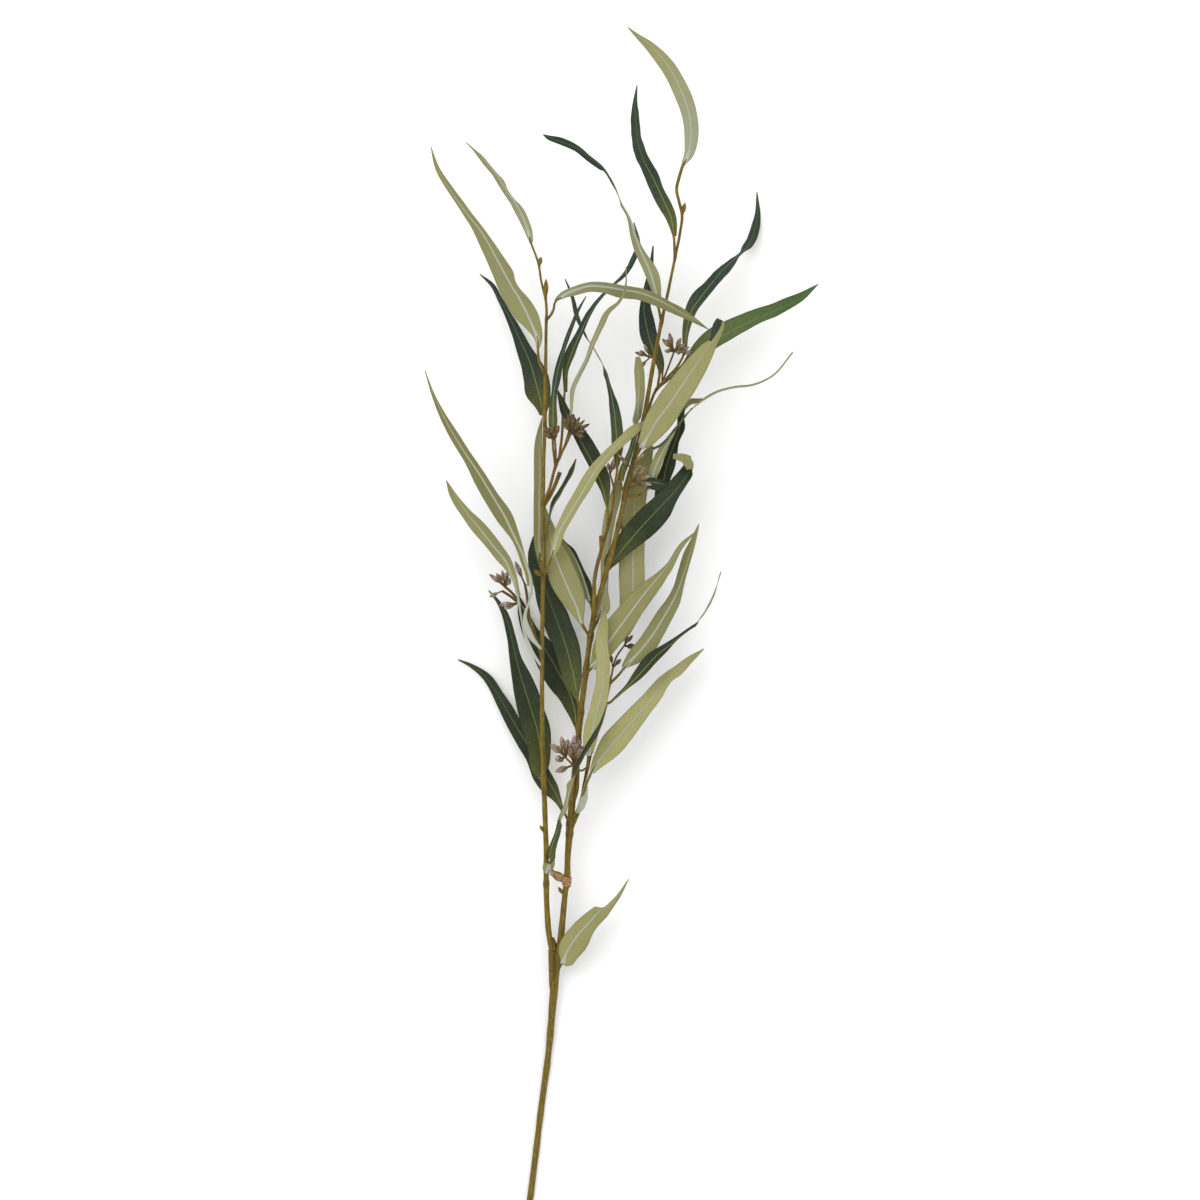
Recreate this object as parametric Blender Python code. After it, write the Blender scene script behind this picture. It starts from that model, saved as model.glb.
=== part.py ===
"""A spray of willow-leaf eucalyptus with printed leaves on moulded stems, laid down on a table.

It is in metres. As seen from above, X runs to the right and Y towards the leaf tips. Z is up, and the
table is at 0. Routes are drawn from above on a grid with x to the right and y down, where 1200 squares
span 0.96 m. The heights beside them are in millimetres over the table, and so are widths and diameters.
"""

import math
import random

import bmesh
import bpy
from mathutils import Matrix, Vector

# Driving dimensions
GRID_SPAN = 0.96
SQUARE = GRID_SPAN / 1200
MIDDLE_X, MIDDLE_Y = 621.56, 628.83
MM = 0.001
GAP = 0.3 * MM
BLADE_THICK = 0.7 * MM
RIB_THICK = 1.1 * MM
PETIOLE_WIDE = 2.0 * MM
PETIOLE_THICK = 1.6 * MM
TIP_WIDE = 1.4 * MM
CHANNEL = 0.16
WAVE = 0.09
WAVE_LENGTH = 34 * MM
WAVE_SHIFT = 1.9
STEM_SIDES, TWIG_SIDES = 8, 6
PEG_RADIUS = 1.0 * MM
BRANCH_RADIUS = 0.75 * MM
STALK_RADIUS = 0.5 * MM
SIDE_STALK_RADIUS = 0.8 * MM
BUD_RADIUS = 1.35 * MM
BUD_POINT = 0.2 * MM
HUB_RADIUS = 1.2 * MM
HUB_TALL = 2.2 * MM
TABLE_SIZE = 2.0

# Spacing of the sections, and how the blades are held in shape
STATION_STEP = 12 * MM
TURN_STEP = 40
STEM_STEP = 12.5 * MM
LEAST_TURN = 0.35
RIB_ROOM = 0.3

# Stems: their points as x, y, height and diameter
MAIN_ROUTE = [
    (526, 1230, 2.1, 5.0), (530, 1200, 2.1, 5.0), (535, 1160, 2.1, 5.0), (541.5, 1106, 2.1, 5.0),
    (548, 1057, 3.2, 5.2), (550.5, 1030, 5, 5.6), (553, 1000, 8, 6.4), (556, 970, 12, 6.8),
    (560, 945, 15, 5.8), (563, 915, 19, 4.8), (565, 895, 22, 4.8), (567, 880, 24, 5.2),
    (567.5, 860, 27, 5.0), (569, 840, 29, 5.4), (571, 815, 32, 6.0), (573, 790, 35, 5.4),
    (577, 755, 39, 5.2), (580, 720, 42, 4.8), (583, 695, 45, 4.6), (586, 670, 46, 4.4),
    (590, 640, 48, 4.2), (595, 612, 49, 4.2), (604, 580, 50, 4.0), (613, 548, 51, 4.0),
    (621, 515, 52, 4.0), (628, 480, 53, 3.9), (636, 452, 54, 3.8), (645, 412, 55, 3.6),
    (653, 366, 56, 3.4), (660, 329, 57, 3.0), (667, 297, 57.5, 2.4), (675, 258, 59, 2.2),
    (680, 233, 60, 2.3), (682, 215, 61, 2.4), (679, 202, 62, 2.4), (676.5, 190, 63, 2.6),
    (679, 178, 64, 2.6), (682, 168, 65, 2.5),
]
LEFT_ROUTE = [
    (549.5, 941, 15, 4.8), (547, 915, 18, 4.6), (546, 880, 22, 4.4), (546, 850, 26, 4.2),
    (545, 820, 29, 4.2), (544, 790, 32, 4.0), (543, 760, 35, 3.8), (542, 725, 38, 3.6),
    (542, 690, 41, 3.5), (542, 650, 44, 3.4), (542.5, 610, 46, 3.3), (543, 570, 48, 3.2),
    (543, 520, 50, 3.2), (543.5, 465, 52, 3.1), (545, 417, 53, 3.0), (545.5, 375, 54, 2.8),
    (546, 333, 55, 2.5), (546, 302, 56, 2.1), (541, 280, 57, 1.9), (539, 266, 58, 1.8),
    (531, 243, 60, 1.7),
]
TWIG_MIDDLE_ROUTE = [
    (594, 603, 53, 3.2), (594.5, 580, 54, 3.2), (597.5, 564, 55, 3.0), (601.5, 549, 56, 2.7),
    (606, 534, 57, 2.4), (610, 520, 58, 2.1), (613, 505, 59, 1.8), (614, 490, 60, 1.6),
    (610, 474, 61, 1.4),
]
TWIG_LOW_ROUTE = [
    (579, 812, 34, 2.6), (584, 785, 36, 2.5), (590, 758, 37, 2.4), (596, 735, 38, 2.2),
    (602, 716, 40, 1.9), (607, 698, 41, 1.8), (611, 678, 42, 1.6), (617, 656, 42, 1.5),
    (624, 646, 42, 1.4),
]
LEFT_ROOT = (555, 973, 11.5)
TWIG_MIDDLE_ROOT = (592.5, 624, 48.5)
TWIG_LOW_ROOT = (569.5, 834, 30)

# Blades: the carrier, the stalk's share of the length, and the route as x, y and height from the root on
# the carrier. A roll of 0 shows the top of the blade from above and 180 its under side, along the route.
LEAVES = {
    "leaf_01": ("stem_main", 0.08, [
        (682, 168, 65), (688, 155, 66), (691, 135, 68), (688, 111, 70), (680, 89, 71), (663, 60, 70),
        (648, 44, 68), (628, 28, 64)], [(0, 180), (0.5, 190), (1, 200)]),
    "leaf_02": ("stem_main", 0.08, [
        (675, 258, 59), (674, 240, 64), (671, 218, 66), (663, 200, 67), (651, 175, 66), (642, 158, 64),
        (638, 145, 62), (636, 125, 58), (635, 103, 53), (637, 85, 48)],
        [(0, 20), (0.35, 5), (0.62, 50), (0.8, 40), (1, 30)]),
    "leaf_03": ("stem_main", 0.08, [
        (662, 322, 57), (658, 306, 62), (655, 290, 64), (649, 270, 65), (640, 250, 66), (634, 233, 67),
        (629, 218, 68), (621, 203, 68), (616, 190, 67), (609, 177, 65), (602, 167, 63), (590, 158, 60),
        (577, 148, 56), (562, 142, 52), (543, 134, 47)],
        [(0, 180), (0.32, 172), (0.46, 135), (0.54, 92), (0.62, 68), (0.8, 25), (1, 15)]),
    "leaf_04": ("stem_left", 0.13, [
        (546, 319, 55), (551, 315.5, 58), (555, 310, 61), (558, 302, 65), (563, 296.5, 68),
        (575, 291, 72), (590, 287, 76), (605, 288, 79), (622, 291, 81), (640, 294, 82), (660, 302, 82),
        (680, 313, 81), (695, 321, 79), (708, 330, 76)], [(0, 180), (0.5, 192), (1, 185)]),
    "leaf_05": ("stem_left", 0.14, [
        (545.5, 374, 54), (540, 364, 58), (538, 352, 60), (538, 341, 62), (532, 325, 63), (521, 302, 62),
        (508, 280, 60), (495, 256, 56), (482, 233, 51), (465, 211, 45), (449, 188, 38), (437, 167, 31),
        (431, 145, 24)], [(0, 180), (0.5, 172), (1, 165)]),
    "leaf_06": ("stem_left", 0.1, [
        (531, 243, 60), (527, 228, 61), (518, 208, 62), (506, 190, 61), (496, 174, 58), (482, 158, 54),
        (466, 142, 49)], [(0, 180), (0.4, 145), (1, 150)]),
    "leaf_07": ("stem_left", 0.1, [
        (545, 425, 53), (543, 412, 45), (540, 399, 38), (535, 380, 30), (529, 360, 23), (521, 342, 16),
        (512, 322, 9), (502, 303, 3), (492, 287, 0), (479, 272, 0)], [(0, 0), (0.4, 12), (0.8, 0), (1, 0)]),
    "leaf_08": ("stem_left", 0.22, [
        (542, 650, 44), (534, 641, 49), (527, 628, 53), (525, 615, 57), (529, 602, 61), (531, 590, 63),
        (530, 575, 64), (524, 557, 65), (515, 538, 65), (504, 515, 63), (492, 495, 60), (478, 472, 56),
        (463, 450, 52), (446, 421, 46), (434, 395, 41), (425, 370, 36)],
        [(0, 180), (0.25, 150), (0.5, 184), (1, 190)]),
    "leaf_09": ("stem_left", 0.34, [
        (542, 666, 43), (532, 653, 47), (523, 634, 51), (518, 615, 55), (514, 596, 58), (512, 577, 59),
        (506, 562, 59), (495, 548, 58), (483, 533, 55), (470, 517, 51), (458, 500, 47), (446, 480, 42)],
        [(0, 180), (0.5, 176), (1, 170)]),
    "leaf_10": ("stem_left", 0.08, [
        (542.5, 575, 48), (541, 562, 40), (539, 540, 34), (539, 515, 30), (539, 490, 27), (540, 465, 24),
        (541, 440, 21), (543, 417, 18)], [(0, 180), (0.5, 160), (1, 170)]),
    "leaf_11": ("stem_left", 0.08, [
        (543, 537, 49), (548, 524, 53), (553, 507, 57), (562, 492, 60), (570, 477, 62), (576, 459, 63)],
        [(0, 60), (0.5, 66), (1, 60)]),
    "leaf_12": ("stem_main", 0.08, [
        (590.5, 638, 48), (583, 626, 50), (577, 608, 51), (568, 588, 51), (559, 566, 50), (552, 545, 47),
        (549, 525, 44), (546, 507, 42)], [(0, 180), (0.5, 188), (1, 200)]),
    "leaf_13": ("stem_main", 0.08, [
        (594, 616, 49), (590, 602, 43), (586, 588, 40), (580, 570, 39), (572, 553, 38), (562, 538, 37)],
        [(0, 160), (1, 150)]),
    "leaf_14": ("stem_left", 0.1, [
        (543, 578, 48), (549, 564, 56), (554, 549, 62), (559, 533, 67), (569, 515, 71), (583, 492, 74),
        (597, 469, 75), (611, 452, 74), (625, 438, 72), (638, 427, 69), (647, 420, 66)],
        [(0, 180), (0.5, 190), (1, 185)]),
    "leaf_15": ("stem_main", 0.08, [
        (634, 459, 54), (640, 450, 61), (646, 440, 68), (655, 424, 77), (670, 404, 84), (682, 386, 87),
        (695, 367, 88), (708, 347, 86), (717, 334, 84), (722, 325, 82)],
        [(0, 180), (0.5, 186), (0.86, 180), (0.94, 110), (1, 40)]),
    "leaf_16": ("cluster_a", 0.08, [
        (658, 388, 50.3), (681, 369, 46), (691, 357, 47), (704, 346, 46), (723, 335, 44), (738, 327, 42),
        (755, 319, 39), (775, 310, 35), (798, 299, 30), (819, 283, 24)], [(0, 0), (0.5, 8), (1, 15)]),
    "leaf_17": ("cluster_a", 0.12, [
        (667, 378, 54), (677, 367, 57), (685, 350, 60), (686, 338, 60), (688, 324, 58), (692, 310, 54),
        (700, 298, 49), (710, 285, 42), (721, 271, 33), (733, 259, 23), (745, 248, 13), (753, 235, 6),
        (758, 215, 1), (758, 189, 0)], [(0, 10), (0.35, 8), (0.6, 35), (0.72, 55), (0.84, 30), (1, 10)]),
    "leaf_18": ("cluster_a", 0.08, [
        (658, 387, 52.3), (659, 370, 46), (653, 350, 42), (647, 328, 39), (644, 308, 38), (646, 285, 37),
        (650, 265, 36), (653, 245, 34)], [(0, 0), (0.5, -10), (1, -15)]),
    "leaf_19": ("cluster_c", 0.26, [
        (559, 458, 58), (562, 434, 48), (563, 408, 44), (565, 389, 47), (567, 368, 50), (573, 350, 52),
        (581, 332, 54), (589, 315, 55), (600, 300, 55), (612, 286, 54), (625, 272, 52), (633, 258, 50),
        (639, 243, 47), (634, 222, 43)], [(0, 25), (0.5, 20), (0.66, 68), (0.8, 25), (1, 30)]),
    "leaf_20": ("cluster_c", 0.14, [
        (555, 466, 57), (553, 446, 62), (553, 427, 61), (553, 410, 60), (554, 392, 59), (557, 375, 58),
        (562, 355, 56), (569, 333, 53), (577, 312, 50), (586, 296, 46)], [(0, 10), (0.5, 30), (1, 45)]),
    "leaf_21": ("twig_middle", 0.08, [
        (614, 492, 60), (617, 472, 62), (617, 450, 61), (616, 430, 60), (614, 410, 58), (610, 390, 56),
        (604, 368, 53), (595, 350, 49), (586, 336, 45), (578, 318, 42), (572, 298, 38), (565, 278, 34)],
        [(0, 0), (0.3, 15), (0.48, 62), (0.58, 98), (0.66, 92), (0.78, 40), (1, 40)]),
    "leaf_22": ("cluster_c", 0.08, [
        (566, 444, 63), (570, 427, 61), (571, 408, 64), (573, 392, 68), (578, 376, 73), (586, 360, 79),
        (593, 344, 85), (600, 328, 89), (608, 313, 91), (619, 302, 92), (625, 290, 91), (626, 268, 89)],
        [(0, 120), (0.3, 140), (0.55, 150), (0.78, 110), (1, 100)]),
    "leaf_23": ("twig_middle", 0.1, [
        (607.5, 529, 57), (608, 514, 60), (604, 497, 61), (600, 482, 61), (593, 466, 60), (582, 446, 57),
        (571, 424, 54), (563, 405, 50), (557, 389, 46)], [(0, 0), (0.5, 8), (1, 10)]),
    "leaf_24": ("stem_main", 0.08, [
        (581, 712, 43), (577, 698, 37), (575, 683, 35), (570, 662, 33), (565, 644, 31), (557, 622, 29),
        (549, 600, 26), (543, 580, 23), (537, 560, 19), (533, 536, 14)], [(0, 0), (0.5, 6), (1, 0)]),
    "leaf_25": ("stem_main", 0.08, [
        (591, 634, 48), (597, 622, 43), (602, 606, 41), (606, 585, 40), (607, 560, 39.5), (608.5, 535, 39.5),
        (612, 510, 40), (616, 492, 42), (621, 474, 44)], [(0, 180), (0.5, 184), (1, 180)]),
    "leaf_26": ("stem_main", 0.08, [
        (578, 742, 41), (576, 726, 33), (574, 708, 28), (569, 693, 25), (561, 678, 22), (553, 663, 19),
        (544, 648, 16), (533, 632, 12), (525, 616, 8), (518, 595, 5)], [(0, 0), (0.5, -5), (1, 0)]),
    "leaf_27": ("stem_left", 0.08, [
        (543.5, 792, 32), (542, 776, 27), (541, 757, 27), (538, 735, 27), (531, 710, 26), (523, 685, 25),
        (516, 660, 24), (511, 637, 23), (506, 618, 22), (498, 603, 21), (488, 590, 20)],
        [(0, 0), (0.5, -4), (1, 10)]),
    "leaf_28": ("stem_main", 0.08, [
        (571, 826, 32), (563, 811, 26), (557, 797, 23), (547, 780, 20), (535, 760, 17), (523, 739, 14),
        (512, 721, 11), (503, 705, 8), (494, 690, 6), (482, 675, 4), (470, 666, 3), (457, 660, 2)],
        [(0, 0), (0.5, 8), (1, 0)]),
    "leaf_29": ("stem_left", 0.08, [
        (546, 885, 22), (548, 870, 28), (550, 852, 33), (555, 834, 38), (561, 818, 42), (566, 806, 46),
        (569, 794, 49), (572, 782, 52), (577, 767, 56), (586, 750, 60), (594, 737, 63), (601, 723, 65),
        (607, 705, 67)],
        [(0, 160), (0.06, 145), (0.1, 45), (0.2, 40), (0.3, 60), (0.36, 140), (0.46, 150), (0.54, 110),
         (0.6, 75), (0.75, 60), (1, 60)]),
    "leaf_30": ("twig_low", 0.08, [
        (605, 705, 41), (611, 702, 48), (621, 693, 52), (633, 681, 55), (645, 668, 57), (656, 656, 58),
        (674, 642, 58), (690, 629, 57), (705, 612, 54), (713, 596, 52), (721, 572, 48)],
        [(0, 10), (0.45, 10), (0.62, 60), (0.74, 100), (0.85, 115), (1, 75)]),
    "leaf_31": ("twig_low", 0.12, [
        (587, 772, 36), (588, 760, 46), (589, 748, 51), (592, 733, 56), (597, 712, 61), (602, 690, 65),
        (604, 665, 67), (603, 640, 68), (605, 611, 67)], [(0, 180), (0.5, 176), (1, 165)]),
    "leaf_32": ("stem_main", 0.22, [
        (571, 824, 31), (577, 811, 37), (583, 795, 42), (589, 778, 44), (597, 763, 44), (609, 748, 43),
        (622, 733, 43), (636, 717, 43), (649, 702, 43), (660, 688, 42), (670, 676, 40), (685, 662, 37),
        (704, 649, 33)], [(0, 180), (0.6, 180), (0.76, 215), (0.85, 195), (1, 190)]),
    "leaf_33": ("twig_low", 0.1, [
        (610, 684, 42), (617, 677, 46), (627, 665, 48), (641, 650, 50), (654, 633, 51), (665, 615, 51),
        (676, 595, 51), (684, 573, 50), (691, 552, 49), (699, 524, 46)], [(0, 180), (0.5, 184), (1, 190)]),
    "leaf_34": ("stem_main", 0.08, [
        (585.5, 675, 46), (595, 664, 53), (604, 649, 56), (616, 632, 58), (630, 613, 60), (645, 593, 61),
        (658, 578, 61), (670, 563, 61), (679, 550, 60), (694, 533, 58)],
        [(0, 180), (0.5, 180), (0.78, 225), (0.9, 200), (1, 200)]),
    "leaf_35": ("stem_main", 0.14, [
        (586.5, 667, 46), (600, 658, 39), (616, 645, 35), (627, 628, 35), (632, 603, 36), (633, 575, 36),
        (633, 550, 36), (634, 520, 36), (635, 492, 35), (641, 468, 34), (652, 445, 32)],
        [(0, 180), (0.3, 172), (0.6, 176), (1, 180)]),
    "leaf_36": ("stem_main", 0.08, [
        (604, 578, 50), (609, 567, 44), (618, 555, 44), (630, 540, 48), (645, 523, 55), (660, 507, 62),
        (675, 491, 65), (687, 475, 67), (692, 464, 69), (686, 457, 72), (673, 455, 73)],
        [(0, 0), (0.5, 2), (0.74, 10), (0.86, 90), (0.93, 170), (1, 180)]),
    "leaf_37": ("stem_main", 0.08, [
        (624, 497, 52.5), (638, 495, 48), (649, 486, 50), (655, 468, 53), (664, 449, 55), (672, 434, 57),
        (690, 411, 61), (702, 401, 63), (717, 392, 63), (735, 387, 61), (752, 385, 58), (772, 376, 54),
        (793, 352, 49)], [(0, 180), (0.25, 182), (0.34, 110), (0.42, 80), (0.55, 110), (1, 120)]),
    "leaf_38": ("stem_main", 0.22, [
        (620, 525, 51.5), (621.5, 527, 45), (629, 530, 41), (641, 526, 40.6), (651, 516, 41), (658, 503, 42),
        (662, 488, 43),
        (667, 465, 44), (674, 445, 46), (680, 427, 48), (683, 412, 51), (690, 404, 54), (703, 399, 56)],
        [(0, 0), (0.6, 10), (0.82, 20), (0.9, 90), (1, 165)]),
    "leaf_39": ("stem_main", 0.14, [
        (626.5, 489, 52.8), (640, 484, 55), (649, 482, 56.5), (658, 483, 57), (668, 486, 55.5),
        (680, 492, 52)], [(0, 0), (1, 10)]),
    "leaf_40": ("stem_main", 0.08, [
        (625, 496, 52.5), (621, 485, 58), (622, 472, 60), (627, 459, 61), (632, 446, 58.8), (636, 430, 58.2),
        (638, 405, 61), (639, 380, 61.5), (637, 357, 61)],
        [(0, 10), (0.25, 15), (0.45, 60), (0.58, 130), (0.7, 170), (1, 175)]),
    "leaf_43": ("stem_main", 0.02, [
        (556.5, 974, 11.7), (562, 965, 17), (567, 953, 22), (575, 940, 25.5), (586.5, 926.5, 28),
        (599, 913, 29), (612, 899, 28), (629, 880, 25)], [(0, 180), (0.5, 186), (0.72, 225), (1, 200)]),
}

# Outlines, seen from above: at shares of each blade, how far its edges lie to the left and to the right
# of the route, in squares of the grid. The first row may lie before the blade's usual foot.
SIDES = {
    "leaf_01": [(-0.08, 1.5, 1.5), (-0.05, 3, 2.5), (0, 3.9, 5.2), (0.1, 6.3, 7), (0.2, 7, 7.6),
                (0.4, 8.3, 7.7), (0.6, 8.1, 6.5), (0.7, 7.6, 5.2), (0.8, 6.2, 3.7), (0.9, 4, 1.2),
                (1, 0.5, 0.5)],
    "leaf_02": [(0, 1.2, 2.7), (0.1, 5, 5), (0.2, 7.3, 5.9), (0.3, 7.9, 5), (0.4, 7.2, 7), (0.5, 4.8, 6.5),
                (0.6, 5.3, 5.3), (0.7, 5, 4.7), (0.8, 3.9, 3.8), (0.9, 2, 2.1), (1, 0.4, 0.5)],
    "leaf_03": [(-0.05, 1.5, 2), (0, 3, 4.5), (0.1, 5.3, 8), (0.2, 5.8, 4.5), (0.3, 5, 1.9), (0.4, 2, 1),
                (0.5, 1.8, 0.6), (0.6, 1.3, 0.8), (0.65, 1.5, 0.8), (0.67, 3.6, 0.9), (0.7, 4.1, 1.1),
                (0.8, 4, 2.4), (0.9, 2.9, 4.2), (0.97, 3, 1.5), (1, 0.4, 0.4)],
    "leaf_04": [(-0.045, 3, -2.2), (-0.015, 4.2, -0.5), (0, 4, 1.5), (0.05, 4, 3.5), (0.1, 4.2, 5),
                (0.2, 4.2, 5.5), (0.3, 4.8, 6), (0.4, 5, 8), (0.5, 4.8, 7.2), (0.6, 5.1, 7), (0.7, 4.2, 6),
                (0.8, 4.6, 4.3), (0.9, 1.9, 3.2), (1, 0.4, 0.4)],
    "leaf_05": [(-0.06, 1.5, 1.5), (0, 4, 6.5), (0.06, 8.5, 9.5), (0.1, 12, 10), (0.16, 14, 8.6),
                (0.2, 14.5, 6.3), (0.25, 13, 5.6), (0.3, 11.5, 8.7), (0.4, 9.5, 6.8), (0.5, 7.7, 4.6),
                (0.6, 4.4, 4.2), (0.7, 2.7, 4.5), (0.8, 2.6, 3.5), (0.9, 2.2, 2), (1, 1.2, -0.4)],
    "leaf_06": [(-0.12, 1.2, 2.2), (-0.06, 2.5, 3.6), (0, 3.5, 4.5), (0.1, 4.5, 4.5), (0.2, 4.5, 4.3),
                (0.3, 4, 2), (0.4, 4, 1.6), (0.5, 4, 3), (0.6, 3.5, 1.3), (0.7, 3.5, 1.5), (0.8, 2.5, 2),
                (0.9, 1, 1), (1, 0.4, 0.4)],
    "leaf_07": [(-0.07, 4, 2), (0, 6.5, 8.5), (0.1, 12.6, 13), (0.2, 11, 14), (0.3, 9.8, 11),
                (0.4, 8.1, 7.6), (0.5, 6, 6.2), (0.6, 4.6, 4.8), (0.7, 3.2, 3.3), (0.8, 1.9, 3.1),
                (0.9, 0, 4.2), (1, 0.4, 0.4)],
    "leaf_08": [(0, 3.6, 2.4), (0.1, 4.8, 1), (0.2, 3.6, 5), (0.3, 8.8, 7.6), (0.4, 9.5, 5.6),
                (0.5, 8.4, 5), (0.6, 5.2, 4.8), (0.7, 4.8, 4.7), (0.8, 3.9, 2.6), (0.9, 2.4, 0.8),
                (1, 0.8, 0)],
    "leaf_09": [(0, -2.6, 7), (0.1, -0.2, 5.2), (0.2, 3.7, 5.2), (0.3, 6.5, 6.3), (0.4, 6.2, 7.2),
                (0.5, 6.5, 7.4), (0.6, 7, 7), (0.7, 6.1, 4.6), (0.8, 5.9, 2.8), (0.9, 4.6, 1.5),
                (1, 0.4, 0.4)],
    "leaf_10": [(0, 3.2, -0.8), (0.1, 4.8, 3.2), (0.2, 5.4, 3.8), (0.35, 5.4, 3.2), (0.5, 5.3, 2.5),
                (0.6, 5.8, 2.3), (0.7, 6.4, 1.6), (0.8, 6.6, 1), (0.9, 4.8, 0.4), (1, 1.6, -0.8)],
    "leaf_11": [(0, 0.6, 0.7), (0.1, 1.1, 0.5), (0.2, 2.3, 0.5), (0.3, 3.2, 0.8), (0.5, 3.6, 0.2),
                (0.6, 3.5, 0.4), (0.7, 3.8, 1), (0.8, 2.8, 2.5), (0.9, 1.6, 1.3), (1, 0.4, 0.5)],
    "leaf_12": [(-0.06, 1.6, 1.6), (0, 2.5, 2.2), (0.1, 7.3, 7), (0.2, 11.1, 12.2), (0.3, 13.6, 14),
                (0.4, 14.6, 14.2), (0.5, 14.2, 13.6), (0.6, 13, 12), (0.7, 10.5, 9), (0.8, 8.7, 6.3),
                (0.9, 6.4, 2.5), (1, 3, -0.4)],
    "leaf_13": [(0, 0.8, 1.4), (0.1, 3.5, 3.2), (0.2, 7.6, 5.8), (0.3, 8.6, 6), (0.4, 9, 5),
                (0.5, 8.5, 4.3), (0.6, 8, 4.1), (0.75, 6.8, 4.2), (0.85, 5, 2.6), (0.93, 3.6, 0.8),
                (1, 0.6, 0.4)],
    "leaf_14": [(0, 1.4, 1.8), (0.06, 3, 4.4), (0.1, 3.8, 5.5), (0.2, 5, 4.9), (0.3, 6.8, 4.8),
                (0.4, 7.3, 4.6), (0.5, 7.6, 5.2), (0.6, 6.9, 4.4), (0.7, 5.2, 4.3), (0.8, 4.6, 5.1),
                (0.9, 5, 5), (0.96, 2.2, 3.6), (1, 0.6, 0.8)],
    "leaf_15": [(0, 5.9, 6), (0.1, 9, 10.5), (0.2, 12, 14.2), (0.3, 13.5, 14.5), (0.4, 14, 13.7),
                (0.5, 13, 13.7), (0.6, 11.5, 12.5), (0.7, 10.6, 10.8), (0.8, 7, 8.6), (0.9, 4.9, 6.8),
                (1, 2, 4.2)],
    "leaf_16": [(0, 4, 4), (0.1, 3, 8), (0.2, 7.9, 9.6), (0.3, 11.8, 8.3), (0.4, 11.6, 7.5),
                (0.5, 10.6, 6.8), (0.6, 9.3, 5.4), (0.7, 7.6, 6), (0.8, 7, 4.4), (0.9, 4.2, 3),
                (1, 0.4, 0.4)],
    "leaf_17": [(0, 1.5, 1.5), (0.1, 4.2, 2.2), (0.2, 6, 4.8), (0.3, 8.5, 5.4), (0.4, 5.8, 6.2),
                (0.5, 4, 6.6), (0.58, 2.8, 4.6), (0.63, 1.4, 1.7), (0.67, 1.5, 1.5), (0.71, 3.3, 4.5),
                (0.8, 4.2, 5.4), (0.9, 2.2, 3), (1, 0.4, 0.4)],
    "leaf_18": [(0, 0.6, 4.4), (0.1, 2.4, 7.6), (0.2, 6, 8), (0.3, 8.4, 8.6), (0.4, 7, 8.8), (0.5, 4.9, 7.4),
                (0.6, 3, 6.2), (0.7, 1.6, 6.2), (0.8, 0.8, 4.6), (0.9, 0.8, 2.6), (1, 0.5, 1)],
    "leaf_19": [(0, 1.2, 2.6), (0.1, 3.8, 1.9), (0.2, 6.4, 3.4), (0.3, 4.4, 2.8), (0.4, 3.5, 2.1),
                (0.5, 3, 1.2), (0.6, 1.2, 1), (0.7, 0.9, 3.2), (0.8, 1.9, 3.5), (0.9, 1.9, 1),
                (1, 0.6, 0.6)],
    "leaf_20": [(0, 2.4, 2.4), (0.1, 4.5, 4.6), (0.2, 3.7, 3.8), (0.3, 2.3, 3.4), (0.4, 3.3, 4.6),
                (0.5, 3.2, 3.5), (0.6, 2.3, 1.9), (0.7, 2.2, 2.2), (0.8, 1.4, 2.3), (0.9, 1, 1.5),
                (1, 0.4, 0.4)],
    "leaf_21": [(0, 2, 2), (0.1, 5, 6.6), (0.2, 4.6, 7), (0.3, 4, 5.1), (0.4, 1.9, 2.3), (0.5, 1.9, 1.3),
                (0.6, 1.5, 1), (0.7, 0.9, 1), (0.8, 2.4, 2), (0.9, 0.8, 2.4), (1, 0.4, 0.4)],
    "leaf_22": [(0, 1, 1), (0.1, 0.9, 1.7), (0.2, 2.6, 1.6), (0.3, 1.2, 3), (0.4, 1, 3), (0.5, 2.4, 2.5),
                (0.6, 2.2, 3), (0.7, 1.9, 3.2), (0.8, 0.7, 2.5), (0.9, 0.8, 1.2), (1, 0.4, 0.4)],
    "leaf_23": [(-0.03, 0.6, 1.2), (0, 1, 2.4), (0.1, 1.6, 7.6), (0.2, 3.8, 11), (0.3, 3.8, 11.4),
                (0.4, 3.8, 12.2), (0.5, 3.3, 12), (0.6, 3, 10), (0.7, 3, 7.4), (0.8, 5, 4.4),
                (0.9, 3, 3), (1, 0.6, 0.6)],
    "leaf_24": [(-0.05, 1, 1.2), (0, 4.9, 3), (0.05, 9.3, 5.8), (0.1, 11.6, 8.2), (0.2, 11.8, 11.9),
                (0.3, 12, 13.5), (0.4, 13.5, 13.3), (0.5, 13, 13), (0.6, 12.6, 8.9), (0.7, 10.6, 6.4),
                (0.8, 10.5, 5), (0.9, 7.8, 1.8), (0.95, 4.5, 0.8), (1, 0.6, 0.4)],
    "leaf_25": [(0, 1.5, 4), (0.06, 3.5, 8.4), (0.12, 4.4, 6.5), (0.2, 5.4, 2.6), (0.3, 6, 2.2),
                (0.5, 6.8, 3.5), (0.7, 6.8, 5), (0.85, 5, 6), (1, 0.6, 0.6)],
    "leaf_26": [(-0.05, 0.9, 0.9), (0, 3.1, 2), (0.1, 8.6, 5), (0.2, 11.6, 8), (0.3, 15, 9), (0.4, 16.2, 9),
                (0.5, 15.4, 9.4), (0.6, 13.6, 8.8), (0.7, 11.6, 5.7), (0.8, 9, 4.8), (0.9, 5.4, 4),
                (1, 0.5, 0.5)],
    "leaf_27": [(-0.055, 5.4, -1.2), (-0.03, 9.4, 3.4), (0, 11.8, 7), (0.1, 12.4, 10.6), (0.2, 14, 13.2),
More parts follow.
